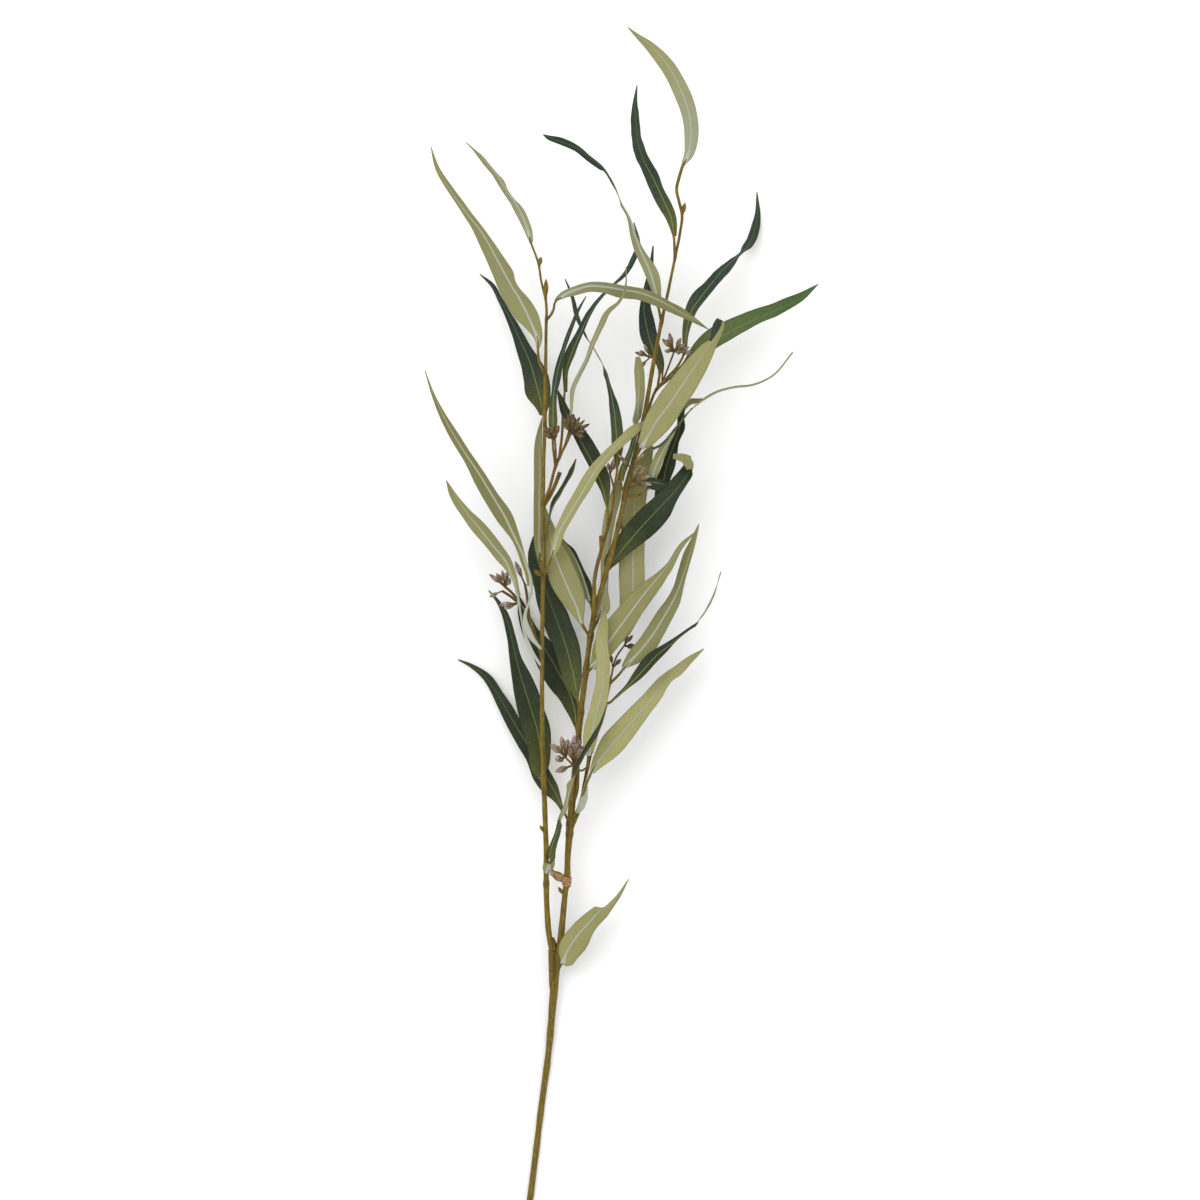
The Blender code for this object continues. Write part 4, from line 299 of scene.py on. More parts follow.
# Outlines, seen from above: how far a blade's edges lie to the left and to the right of its route, in
# squares of the grid. A row of three starts with its share of the blade, which may lie before the blade's
# usual foot. A row of two lies a tenth of the blade beyond the row before it.
SIDES = {
    "leaf_01": [(-0.08, 1.5, 1.5), (-0.05, 3, 2.5), (0, 3.9, 5.2), (6.3, 7), (7, 7.6), (0.4, 8.3, 7.7),
        (0.6, 8.1, 6.5), (7.6, 5.2), (6.2, 3.7), (4, 1.2), (0.5, 0.5)],
    "leaf_02": [(0, 1.2, 2.7), (5, 5), (7.3, 5.9), (7.9, 5), (7.2, 7), (4.8, 6.5), (5.3, 5.3), (5, 4.7),
        (3.9, 3.8), (2, 2.1), (0.4, 0.5)],
    "leaf_03": [(-0.05, 1.5, 2), (0, 3, 4.5), (5.3, 8), (5.8, 4.5), (5, 1.9), (2, 1), (1.8, 0.6), (1.3,
        0.8), (0.65, 1.5, 0.8), (0.67, 3.6, 0.9), (0.7, 4.1, 1.1), (4, 2.4), (2.9, 4.2), (0.97, 3, 1.5), (1,
        0.4, 0.4)],
    "leaf_04": [(-0.045, 3, -2.2), (-0.015, 4.2, -0.5), (0, 4, 1.5), (0.05, 4, 3.5), (0.1, 4.2, 5), (4.2,
        5.5), (4.8, 6), (5, 8), (4.8, 7.2), (5.1, 7), (4.2, 6), (4.6, 4.3), (1.9, 3.2), (0.4, 0.4)],
    "leaf_05": [(-0.06, 1.5, 1.5), (0, 4, 6.5), (0.06, 8.5, 9.5), (0.1, 12, 10), (0.16, 14, 8.6), (0.2,
        14.5, 6.3), (0.25, 13, 5.6), (0.3, 11.5, 8.7), (9.5, 6.8), (7.7, 4.6), (4.4, 4.2), (2.7, 4.5), (2.6,
        3.5), (2.2, 2), (1.2, -0.4)],
    "leaf_06": [(-0.12, 1.2, 2.2), (-0.06, 2.5, 3.6), (0, 3.5, 4.5), (4.5, 4.5), (4.5, 4.3), (4, 2), (4,
        1.6), (4, 3), (3.5, 1.3), (3.5, 1.5), (2.5, 2), (1, 1), (0.4, 0.4)],
    "leaf_07": [(-0.07, 4, 2), (0, 6.5, 8.5), (12.6, 13), (11, 14), (9.8, 11), (8.1, 7.6), (6, 6.2), (4.6,
        4.8), (3.2, 3.3), (1.9, 3.1), (0, 4.2), (0.4, 0.4)],
    "leaf_08": [(0, 3.6, 2.4), (4.8, 1), (3.6, 5), (8.8, 7.6), (9.5, 5.6), (8.4, 5), (5.2, 4.8), (4.8, 4.7),
        (3.9, 2.6), (2.4, 0.8), (0.8, 0)],
    "leaf_09": [(0, -2.6, 7), (-0.2, 5.2), (3.7, 5.2), (6.5, 6.3), (6.2, 7.2), (6.5, 7.4), (7, 7), (6.1,
        4.6), (5.9, 2.8), (4.6, 1.5), (0.4, 0.4)],
    "leaf_10": [(0, 3.2, -0.8), (4.8, 3.2), (5.4, 3.8), (0.35, 5.4, 3.2), (0.5, 5.3, 2.5), (5.8, 2.3), (6.4,
        1.6), (6.6, 1), (4.8, 0.4), (1.6, -0.8)],
    "leaf_11": [(0, 0.6, 0.7), (1.1, 0.5), (2.3, 0.5), (3.2, 0.8), (0.5, 3.6, 0.2), (3.5, 0.4), (3.8, 1),
        (2.8, 2.5), (1.6, 1.3), (0.4, 0.5)],
    "leaf_12": [(-0.06, 1.6, 1.6), (0, 2.5, 2.2), (7.3, 7), (11.1, 12.2), (13.6, 14), (14.6, 14.2), (14.2,
        13.6), (13, 12), (10.5, 9), (8.7, 6.3), (6.4, 2.5), (3, -0.4)],
    "leaf_13": [(0, 0.8, 1.4), (3.5, 3.2), (7.6, 5.8), (8.6, 6), (9, 5), (8.5, 4.3), (8, 4.1), (0.75, 6.8,
        4.2), (5, 2.6), (0.93, 3.6, 0.8), (1, 0.6, 0.4)],
    "leaf_14": [(0, 1.4, 1.8), (0.06, 3, 4.4), (0.1, 3.8, 5.5), (5, 4.9), (6.8, 4.8), (7.3, 4.6), (7.6,
        5.2), (6.9, 4.4), (5.2, 4.3), (4.6, 5.1), (5, 5), (0.96, 2.2, 3.6), (1, 0.6, 0.8)],
    "leaf_15": [(0, 5.9, 6), (9, 10.5), (12, 14.2), (13.5, 14.5), (14, 13.7), (13, 13.7), (11.5, 12.5),
        (9.6, 10.8), (5.9, 8.2), (0.854, 2.8, 5.8), (0.9, 6.4, 4.8), (0.96, 8, 3.4), (1, 7, 1.4)],
    "leaf_16": [(0, 4, 4), (3, 8), (7.9, 9.6), (11.8, 8.3), (11.6, 7.5), (10.6, 6.8), (9.3, 5.4), (7.6, 6),
        (7, 4.4), (4.2, 3), (0.4, 0.4)],
    "leaf_17": [(0, 1.5, 1.5), (4.2, 2.2), (6, 4.8), (8.5, 5.4), (5.8, 6.2), (4, 6.6), (0.58, 2.8, 4.6),
        (0.63, 1.4, 1.7), (0.67, 1.5, 1.5), (0.71, 3.3, 4.5), (0.8, 4.2, 5.4), (2.2, 3), (0.4, 0.4)],
    "leaf_18": [(0, 0.6, 4.4), (2.4, 7.6), (6, 8), (8.4, 8.6), (7, 8.8), (4.9, 7.4), (3, 6.2), (1.6, 6.2),
        (0.8, 4.6), (0.8, 2.6), (0.5, 1)],
    "leaf_19": [(0, 1.2, 2.6), (3.8, 1.9), (6.4, 3.4), (4.4, 2.8), (3.5, 2.1), (3, 1.2), (1.2, 1), (0.9,
        3.2), (1.9, 3.5), (1.9, 1), (0.6, 0.6)],
    "leaf_20": [(0, 2.4, 2.4), (4.5, 4.6), (3.7, 3.8), (2.3, 3.4), (3.3, 4.6), (3.2, 3.5), (2.3, 1.9), (2.2,
        2.2), (1.4, 2.3), (1, 1.5), (0.4, 0.4)],
    "leaf_21": [(0, 2, 2), (5, 6.6), (4.6, 7), (4, 5.1), (1.9, 2.3), (1.9, 1.3), (1.5, 1), (0.9, 1), (2.4,
        2), (0.8, 2.4), (0.4, 0.4)],
    "leaf_22": [(0, 1, 1), (0.9, 1.7), (2.6, 1.6), (1.2, 3), (1, 3), (2.4, 2.5), (2.2, 3), (1.9, 3.2), (0.7,
        2.5), (0.8, 1.2), (0.4, 0.4)],
    "leaf_23": [(-0.03, 0.6, 1.2), (0, 1, 2.4), (1.6, 7.6), (3.8, 11), (3.8, 11.4), (3.8, 12.2), (3.3, 12),
        (3, 10), (3, 7.4), (5, 4.4), (3, 3), (0.6, 0.6)],
    "leaf_24": [(-0.05, 1, 1.2), (0, 4.9, 3), (0.05, 9.3, 5.8), (0.1, 11.6, 8.2), (11.8, 11.9), (12, 13.5),
        (13.5, 13.3), (13, 13), (12.6, 8.9), (10.6, 6.4), (10.5, 5), (7.8, 1.8), (0.95, 4.5, 0.8), (1, 0.6,
        0.4)],
    "leaf_25": [(0, 1.5, 4), (0.06, 3.5, 8.4), (0.12, 4.4, 6.5), (0.2, 5.4, 2.6), (6, 2.2), (0.5, 6.8, 3.5),
        (0.7, 6.8, 5), (0.85, 5, 6), (1, 0.6, 0.6)],
    "leaf_26": [(-0.05, 0.9, 0.9), (0, 3.1, 2), (8.6, 5), (11.6, 8), (15, 9), (16.2, 9), (15.4, 9.4), (13.6,
        8.8), (11.6, 5.7), (9, 4.8), (5.4, 4), (0.5, 0.5)],
    "leaf_27": [(-0.055, 5.4, -1.2), (-0.03, 9.4, 3.4), (0, 11.8, 7), (12.4, 10.6), (14, 13.2), (14, 12.4),
        (12.2, 12.4), (9.3, 9.8), (6.7, 5.6), (4.7, 4.5), (4, 3.8), (1.8, 2.8), (0.4, 0.4)],
    "leaf_28": [(-0.065, 1.7, 1.5), (0, 3.5, 1.9), (0.05, 6.6, 3.6), (0.1, 10.4, 5.9), (11.8, 6.6), (8.4,
        7.8), (8.5, 7.4), (8, 7.2), (6.8, 7), (5.3, 5.4), (3.3, 5.5), (2.2, 2.6), (0.6, 0.6)],
    "leaf_29": [(-0.085, 3.5, 2.5), (-0.05, 5.3, 5.5), (0, 3.6, 6.5), (1.3, 5.2), (0.8, 5.4), (2.5, 3),
        (2.5, 0.9), (3.4, 1.4), (2.3, 2.3), (2.4, 2.4), (2.2, 2.2), (1.3, 1.3), (0.4, 0.4)],
    "leaf_30": [(-0.08, 0.8, 0.8), (0, 1.8, 0.8), (2.6, 1.9), (5.9, 4.5), (7.4, 4.9), (5, 4), (3.3, 0.6),
        (1.9, 0.6), (0.65, 0.2, 2.8), (0.7, 0.9, 1.4), (0.6, 1.2), (0.3, 1.2), (0.4, 0.4)],
    "leaf_31": [(0, 4.5, 5), (7.7, 6.5), (8.9, 6.8), (7.8, 7.4), (8, 7.5), (7.2, 6.7), (7.6, 6.2), (7.8,
        5.7), (7.5, 5), (5.2, 4.5), (0.6, 0.8)],
    "leaf_32": [(0, 2, 3), (7.4, 8.7), (12, 12), (11.8, 11.6), (10.9, 10), (9.7, 8.3), (8.4, 7.2), (7.6,
        4.9), (0.74, 6, 5.4), (0.8, 3.4, 7), (2.2, 4.6), (0.5, 0.5)],
    "leaf_33": [(0, 3.5, 1.2), (7.9, 8.3), (8.3, 11), (8.8, 9.2), (8.5, 8.3), (6.6, 7.4), (5.6, 4.4), (6.4,
        3), (6.8, 2.3), (3.8, 1.7), (0.5, 0.5)],
    "leaf_34": [(-0.05, 4, 4), (0, 6.5, 7), (12.5, 10), (14.2, 10.8), (13.2, 11.6), (12.2, 10.3), (10.4,
        9.7), (6.6, 8), (3.6, 6.1), (2.6, 3.4), (3.2, 1.5), (0.5, 0.5)],
    "leaf_35": [(0, 2, 2), (6, 6), (11.5, 9), (13.4, 11.8), (13.8, 11.7), (13.4, 11.8), (12.2, 11.6), (11,
        12), (9, 12), (8, 9.5), (2, 2)],
    "leaf_36": [(-0.08, 2, 1.5), (-0.04, 6, 3), (0, 9, 4.7), (10.8, 7.5), (12.2, 11), (12.9, 13.8), (12.5,
        14.8), (11.2, 13.2), (10.2, 8), (10, 5.6), (7.2, 4.6), (7.5, 2.6), (4, 1)],
    "leaf_37": [(0, 2, 2), (5, 5), (5, 4), (1.7, 2.5), (1, 1.5), (1.2, 0.9), (0.8, 1.2), (1, 0.6, 0.6)],
    "leaf_38": [(-0.04, 2.2, 1), (0, 3.2, 2), (4, 5), (6, 6), (7, 6.5), (4.4, 8.4), (5, 6.6), (5, 4), (3.2,
        5.3), (3.9, 2.3), (4, 2.8), (0.8, 0.8)],
    "leaf_39": [(0, 1.2, 1.2), (2.2, 3), (3.6, 4.2), (4.4, 7.2), (4.5, 7.8), (3.8, 8.2), (4, 7), (0.8, 3,
        4), (1, 0.6, 0.6)],
    "leaf_40": [(0, 3, 3), (3, 4), (2.2, 3.5), (2.2, 3), (3, 3), (5, 4), (2.4, 4.8), (2.9, 6), (4.2, 5.8),
        (4, 5.6), (1.6, 3)],
    "leaf_43": [(0, 2, 5), (0.02, 3, 9), (0.08, 7, 11.5), (0.16, 10.5, 13.5), (0.24, 11, 14.5), (0.33, 10.5,
        13.4), (0.41, 10.4, 10.6), (0.49, 9.2, 9), (0.58, 7.6, 8.6), (0.615, 6.6, 8.4), (0.65, 0, 8), (-1.2,
        6.8), (0.83, -1.4, 5.4), (0.915, -0.5, 3), (1, 0.5, 0.3)],
}

# Heads of buds: carrier, stalk route with heights, and hubs with the plan places of their bud tips
CLUSTERS = {
    "cluster_a": {
        "carrier": "stem_main",
        "stalk": [(641, 430, 54.6), (649, 408, 47, 2.4), (656, 390, 49.5, 2.2), (667, 378, 54, 2.0)],
        "branches": [
            [(662, 383, 51.5), (668, 368, 60), (674, 352, 65)],
            [(662, 383, 51.5), (662, 368, 50), (657, 359, 48), (650, 357, 47)]],
        "hubs": [
            ((674, 352, 65), [(669, 333), (662, 339), (681, 338), (685, 344), (694, 353), (681, 353),
                              (664, 351)]),
            ((650, 357, 47), [(635, 352), (644, 344), (638, 369)])]},
    "cluster_c": {
        "carrier": "stem_left",
        "stalk": [(543.3, 504, 50.5), (549, 490, 54, 2.6), (555, 468, 57, 2.4), (564, 448, 63, 2.2),
                  (571, 434, 67, 1.8)],
        "branches": [[(555, 468, 57), (556, 453, 63), (555, 440, 65)]],
        "hubs": [
            ((571, 434, 67), [(563, 416), (568, 413), (574, 414), (580, 417), (585, 420), (590, 424),
                              (587, 431), (585, 437), (577, 425)]),
            ((555, 440, 65), [(544, 425), (544, 431), (550, 425), (559, 425), (555, 431)])]},
    "cluster_d": {
        "carrier": "stem_main",
        "stalk": [(627.5, 484, 53), (630, 484, 60, 1.8), (633, 482, 63, 1.6)],
        "branches": [[(632, 483, 62), (631, 473, 64), (630, 466, 65)]],
        "hubs": [
            ((633, 482, 63), [(638, 468), (645, 467), (650, 476), (652, 485)]),
            ((630, 467, 65), [(618, 455), (622, 460), (644, 454)])]},
    "cluster_e": {
        "carrier": "stem_left",
        "stalk": [(542, 655, 43.8), (537, 643, 42.5, 2.6), (532.5, 627, 42.5, 2.4), (528, 614, 43.2, 2.0),
                  (519, 603, 45, 1.7)],
        "branches": [
            [(529, 617, 43), (527, 597, 44), (525, 584, 45)],
            [(520.5, 605, 44.8), (512, 593, 46.5), (504, 586, 47)],
            [(520.5, 605, 44.8), (510, 596, 46), (502, 591, 46)]],
        "hubs": [
            ((505, 587, 47), [(489, 574), (496, 573), (502, 570), (507, 571), (511, 580)]),
            ((502, 591, 46), [(489, 597)]),
            ((519, 603, 45), [(499, 605), (504, 609)]),
            ((525, 585, 45), [(515, 561)])]},
    "cluster_f": {
        "carrier": "twig_low",
        "stalk": [(588, 768, 36.5), (581, 771, 44, 1.8), (574, 766, 47, 1.7), (566, 758, 49, 1.6)],
        "branches": [],
        "hubs": [
            ((574, 765, 47), [(574, 735), (580, 734), (583, 746), (555, 772), (568, 745)]),
            ((566, 757, 49), [(550, 744), (561, 736), (568, 739), (555, 760)])]},
}
TWIG_HUBS = {
    "twig_low": [((624, 646, 42), [(633, 635), (635, 645), (628, 636)]),
                 ((613, 668, 42), [(621, 659), (610, 653)])],
    "twig_middle": [((610, 474, 61), [(608, 463), (614, 458), (617, 462)])],
}

# Small added parts: the coat's place in the list, the shade, and the route as x, y, height and width
EXTRAS = {
    "twig_low": [(2, 0.5, [(577, 813, 37, 3), (580, 809, 39, 6), (583, 801, 40, 6.4), (585, 792, 40, 4.2),
                           (586, 782, 39, 1.6)])],
    "stem_main": [(0, 0.2, [(574, 803, 36, 2), (577, 792, 38, 2.4), (578, 776, 39.6, 2.4),
                            (578, 752, 40.6, 2)]),
                  (0, 0.15, [(552.4, 1000, 7.5, 3.2), (551.8, 985, 10.4, 5), (551.6, 968, 13, 5.4),
                             (551, 952, 14.3, 5)]),
                  (0, 1, [(554.2, 992, 12.4, 0.5), (554.8, 977, 14.7, 1), (555.2, 963, 15.6, 1.3),
                          (554.4, 953, 15.3, 1.6)]),
                  (0, 0.9, [(553.5, 960, 13, 3), (554, 950, 14.5, 4.4), (553.6, 943, 15.5, 4),
                            (552.8, 939, 16, 1.6)])],
    "cluster_d": [(1, 0.1, [(637, 473, 66, 1.1), (636, 469, 68, 1.3), (639.5, 466.5, 69, 1.5),
                            (643.5, 468, 68.4, 1.3), (642.5, 471.5, 67.6, 1.1), (638, 474, 66.6, 1.1)])],
}

# Side buds and nubs fused to a stem: two plan points with heights, and the widest radius
SIDE_BUDS = {
    "stem_main": [((682, 217, 61), (685, 203, 63.5), 1.9), ((564, 897, 22), (558, 888, 25), 1.6)],
    "stem_left": [((546, 301, 56), (546, 279, 59), 2.0), ((539, 268, 58), (541, 257, 60.5), 1.9),
                  ((543, 577, 48), (534, 570, 52), 2.2), ((544, 834, 28), (540, 826, 30.5), 1.5)],
}
# Cut stubs: their route and width
STUBS = {
    "stem_left": ([(543.3, 507, 50.4), (550, 496, 49.5), (557, 480, 49.5), (560, 472, 49.5)], 3.4),
    "twig_middle": ([(601, 549, 56), (601, 536, 59)], 3.2),
}

# The tie, wound round the right-hand stem: its middle, its turns, and its tail
TIE_MIDDLE = (567, 882, 24)
TIE_TURNS, TIE_STEPS, TIE_TALL, TIE_TAIL_STEPS = 2.6, 110, 5.2 * MM, 14
TIE_TAIL = [(566, 882, 26.9), (551, 873, 26.9)]
# The strip's section: how far out in millimetres, and how far along as a share of its half width
TIE_SECTION = ((0, -1), (0.3, -1), (0.42, 0), (0.3, 1), (0, 1))

# How each leaf is printed: tone from -1 (dark) to 1 (pale), then a tint. On top, a tint turns blue-green
# up to 0.3 and then bright green from 0.4 to 1. Below, it wears the print paler and greyer. The tone of
# leaf_35 is partly painted light.
PRINTS = {
    "leaf_01": (0.2, 0.9), "leaf_02": (0.2, 0.15), "leaf_03": (-0.35, 0.25), "leaf_04": (-0.85, 0.35),
    "leaf_05": (-0.4, 0.15), "leaf_06": (-0.3, 0.5), "leaf_07": (-0.2, 0.22), "leaf_08": (-0.85, 0),
    "leaf_09": (-0.25, 0.1), "leaf_10": (-0.2, 0), "leaf_11": (-0.8, 0), "leaf_12": (-0.25, 0.1),
    "leaf_13": (-0.7, 0), "leaf_14": (0.4, 0), "leaf_15": (0.25, 0.1), "leaf_16": (0.5, 1),
    "leaf_17": (0.2, 0.25), "leaf_18": (-0.1, 0.25), "leaf_19": (0, 0.25), "leaf_20": (0.1, 0.25),
    "leaf_21": (-0.1, 0.2), "leaf_22": (0.3, 0.1), "leaf_23": (-0.4, 0), "leaf_24": (0.3, 0),
    "leaf_25": (0.7, 0), "leaf_26": (-0.75, 0), "leaf_27": (-0.1, 0.05), "leaf_28": (-0.15, 0.05),
    "leaf_29": (0, 0),
    "leaf_30": (-0.3, 0.05), "leaf_31": (0.8, 0), "leaf_32": (0.95, 0), "leaf_33": (-0.5, 0.15),
    # leaf_35's tone is partly its pale print and partly painted light, raised against the shade of the
    # leaves above it
    "leaf_34": (-0.25, 0), "leaf_35": (0.4, 0), "leaf_36": (-0.05, 0.08), "leaf_37": (0, 0.1),
    "leaf_38": (-0.5, 0), "leaf_39": (0.2, 0.1), "leaf_40": (-0.1, 0.7), "leaf_43": (0.15, 0),
}

# Strands along a leaf in its dark top colour, as x, y, height and width
STRIPS = {
    "leaf_37": [(653, 449, 57, 2.0), (661, 445, 58, 2.2), (672, 433, 60, 2.0), (684, 418, 62, 1.6),
                (692, 408, 63, 0.8)],
}
# Blades that show the top's colour on one half of their under side: the share where that begins, and
# whether it is the half of the first columns
DARK_HALVES = {"leaf_13": (0.0, True), "leaf_15": (0.85, False)}
# Leaf stalks moulded in the rib's pale colour
PALE_STALKS = ("leaf_08", "leaf_09")
# How red-brown the thin stems are, where 0 is the ochre of the main stems
STEM_TINTS = {"cluster_a": 0.35, "cluster_c": 0.35, "cluster_d": 0.6, "cluster_e": 0.35, "cluster_f": 0.5,
              "twig_middle": 0.7, "twig_low": 0.7}
# No node swells below this place, just under the fork
FORK_Y = (MIDDLE_Y - 960) * SQUARE

# The buds of each head: from olive-gold at 0 to dusty mauve at 1, how dark, and how wide in millimetres
HEADS = {
    "cluster_a": {"mauve": 0.45, "dark": 0.45, "wide": 3.0, "behind": 0.2},
    "cluster_c": {"mauve": 0.05, "dark": 1, "wide": 2.6, "behind": 0.5},
    "cluster_d": {"mauve": 0.4, "dark": 0.3, "wide": 3.0, "behind": 0},
    "cluster_e": {"mauve": 0.8, "dark": 0.4, "wide": 3.2, "behind": 0.25},
    "cluster_f": {"mauve": 0.7, "dark": 0.5, "wide": 4.2, "behind": 0.5},
    "twig_middle": {"mauve": 0.6, "dark": 0.5, "wide": 2.6, "behind": 0.3},
    "twig_low": {"mauve": 0.5, "dark": 1, "wide": 2.6, "behind": 0.3},
}


def place(x, y, height):
    """A point of the drawing grid, in metres."""
    return Vector(((x - MIDDLE_X) * SQUARE, (MIDDLE_Y - y) * SQUARE, height * MM))


def drawn(route):
    """The points of a drawn route in metres, without their widths."""
    return [place(*p[:3]) for p in route]


def outline(name):
    """A blade's outline, with the share of each row filled in."""
    rows = []
    for row in SIDES[name]:
        rows.append(row if len(row) == 3 else (round(rows[-1][0] + ROW_STEP, 3), *row))
    return rows


def srgb(code):
    """A linear colour from its six-digit sRGB code, less the studio's extra light."""
    parts = [int(code[i:i + 2], 16) / 255 for i in (0, 2, 4)]
    return [(c / 12.92 if c <= 0.04045 else ((c + 0.055) / 1.055) ** 2.4) / EXTRA_LIGHT for c in parts]


class Path:
    """A smooth curve through given points, measured along its length."""

    STEPS = 14
    LOOK = 1.5 * MM

    def __init__(self, points):
        spans = [max((b - a).length, 1e-9) for a, b in zip(points, points[1:])]
        slopes = [(b - a) / d for a, b, d in zip(points, points[1:], spans)]
        pulls = [slopes[0]]
        for i in range(1, len(points) - 1):
            before, after = spans[i - 1], spans[i]
            pulls.append((slopes[i - 1] * after + slopes[i] * before) / (before + after))
        pulls.append(slopes[-1])
        self.points = [points[0]]
        for i, span in enumerate(spans):
            for step in range(1, self.STEPS + 1):
                self.points.append(self.between(points, pulls, i, span, step / self.STEPS))
        self.reach = [0.0]
        for a, b in zip(self.points, self.points[1:]):
            self.reach.append(self.reach[-1] + (b - a).length)
        self.length = self.reach[-1]

    @staticmethod
    def between(points, pulls, i, span, t):
        a, b = points[i], points[i + 1]
        start = a * (2 * t**3 - 3 * t**2 + 1) + pulls[i] * span * (t**3 - 2 * t**2 + t)
        return start + b * (3 * t**2 - 2 * t**3) + pulls[i + 1] * span * (t**3 - t**2)

    def at(self, distance):
        distance = min(max(distance, 0.0), self.length)
        last = len(self.reach) - 2
        i = min(next((k for k, r in enumerate(self.reach) if r >= distance), last + 1), last + 1)
        i = max(i, 1)
        span = self.reach[i] - self.reach[i - 1]
        share = (distance - self.reach[i - 1]) / span if span else 0.0
        return self.points[i - 1].lerp(self.points[i], share)

    def tangent(self, distance):
        return (self.at(distance + self.LOOK) - self.at(distance - self.LOOK)).normalized()

    def spread(self, count):
        """Points at equal steps from one end to the other."""
        return [self.at(self.length * i / count) for i in range(count + 1)]

    def nearest(self, point):
        """The distance along the curve that is nearest to a point in plan."""
        flat = [((p.xy - point.xy).length, r) for p, r in zip(self.points, self.reach)]
        return min(flat)[1]


def blend_values(pairs, share):
    """A smooth value between (share, value) pairs."""
    for (a, first), (b, second) in zip(pairs, pairs[1:]):
        if share <= b:
            t = (share - a) / (b - a)
            return first + (second - first) * t * t * (3 - 2 * t)
    return pairs[-1][1]


def flow(rows, share, column):
    """A smooth value between rows that lead with their share, through each row."""
    last = len(rows) - 1
    i = next((n for n in range(1, last) if share <= rows[n][0]), last)
    a, b = rows[i - 1], rows[i]
    low, high = rows[max(i - 2, 0)], rows[min(i + 1, last)]
    span = b[0] - a[0]
    t = min(max((share - a[0]) / span, 0.0), 1.0)
    start = (b[column] - low[column]) / (b[0] - low[0]) * span
    end = (high[column] - a[column]) / (high[0] - a[0]) * span
    return (a[column] * (2 * t**3 - 3 * t**2 + 1) + start * (t**3 - 2 * t**2 + t)
            + b[column] * (3 * t**2 - 2 * t**3) + end * (t**3 - t**2))


# Materials

class Graph:
    """A material's node tree, with short calls for the nodes that are used most."""

    def __init__(self, name, roughness, **settings):
        self.material = bpy.data.materials.new(name)
        self.material.use_nodes = True
        self.tree = self.material.node_tree
        self.shader = self.tree.nodes["Principled BSDF"]
        self.shader.inputs["Roughness"].default_value = roughness
        for key, value in settings.items():
            self.shader.inputs[key.replace("_", " ")].default_value = value
        self.spots = self.node("TexCoord").outputs["Object"]

    def node(self, kind, *inputs, **settings):
        made = self.tree.nodes.new("ShaderNode" + kind)
        for key, value in settings.items():
            setattr(made, key, value)
        for socket, value in zip(made.inputs, inputs):
            self.feed(socket, value)
        return made

    def feed(self, socket, value):
        if isinstance(value, bpy.types.NodeSocket):
            self.tree.links.new(value, socket)
        elif value is not None:
            socket.default_value = value

    def math(self, operation, *inputs, clamp=False):
        return self.node("Math", *inputs, operation=operation, use_clamp=clamp).outputs[0]

    def mix(self, share, first, second):
        """A mix of two colours, each a socket, its numbers or its sRGB code."""
        made = self.node("Mix", data_type="RGBA")
        for name, value in (("Factor", share), ("A", first), ("B", second)):
            socket = next(s for s in made.inputs if s.name == name and s.enabled)
            value = srgb(value) if isinstance(value, str) else value
            self.feed(socket, (*value, 1) if isinstance(value, (list, tuple)) else value)
        return next(s for s in made.outputs if s.enabled)

    def wash(self, body, value, low, high, most, colour):
        """A colour laid over the body, up to a share, as a value goes from low to high."""
        return self.mix(self.span(value, low, high, 0.0, most), body, colour)

    def layer(self, body, share, most, colour):
        """A colour laid over the body by a share of most."""
        return self.mix(self.math("MULTIPLY", share, most), body, colour)

    def span(self, value, low, high, start=0.0, end=1.0):
        """A smooth step of value from low to high, between start and end."""
        made = self.node("MapRange", value, low, high, start, end, interpolation_type="SMOOTHSTEP")
        return made.outputs[0]

    def noise(self, scale, detail=3.0, rough=0.5, where=None):
        made = self.node("TexNoise")
        where = self.spots if where is None else where
        for name, value in (("Vector", where), ("Scale", scale), ("Detail", detail), ("Roughness", rough)):
            self.feed(made.inputs[name], value)
        return made.outputs["Fac"]

    def stretched(self, x, y, z):
        made = self.node("Mapping", self.spots)
        made.inputs["Scale"].default_value = (x, y, z)
        return made.outputs["Vector"]

    def bump(self, height, strength, distance):
        made = self.node("Bump")
        self.feed(made.inputs["Height"], height)
        made.inputs["Strength"].default_value = strength
        made.inputs["Distance"].default_value = distance
        return made.outputs["Normal"]

    def paint(self, colour, normal=None, roughness=None):
        self.feed(self.shader.inputs["Base Color"], colour)
        if normal is not None:
            self.feed(self.shader.inputs["Normal"], normal)
        if roughness is not None:
            self.feed(self.shader.inputs["Roughness"], roughness)
        return self.material


def read_print(graph):
    """The share along the piece, its tone, its tint and how near an edge or a ridge is, from the mesh."""
    made = graph.node("Attribute", attribute_name="print")
    parts = graph.node("SeparateColor", made.outputs["Color"])
    return (*parts.outputs, made.outputs["Alpha"])


def blade_places(graph):
    """Millimetres from the midrib and along the blade, from the mesh's own map."""
    parts = graph.node("SeparateXYZ", graph.node("UVMap", uv_map="blade").outputs[0]).outputs
    side = graph.math("SUBTRACT", graph.math("MULTIPLY", parts[0], MAP_WIDE / MM), MAP_WIDE / MM / 2)
    return side, graph.math("MULTIPLY", parts[1], MAP_LONG / MM)


def veins(graph, side, along, wobble):
    """Fine side veins that leave the midrib at a steep slant."""
    slant, gap = 1.9, 2.1
    away = graph.math("ABSOLUTE", side)
    phase = graph.math("SUBTRACT", along, graph.math("MULTIPLY", away, slant))
    phase = graph.math("ADD", phase, graph.math("MULTIPLY", wobble, 3.0))
    wave = graph.math("SINE", graph.math("MULTIPLY", phase, 2 * math.pi / gap))
    return graph.span(wave, 0.55, 1.0)


def cloth(graph, lines, strength):
    """The height of the printed cloth's veins and fine threads."""
    threads = graph.noise(1900.0, 2.0, 0.6)
    return graph.math("ADD", graph.math("MULTIPLY", lines, strength), graph.math("MULTIPLY", threads, 0.6))


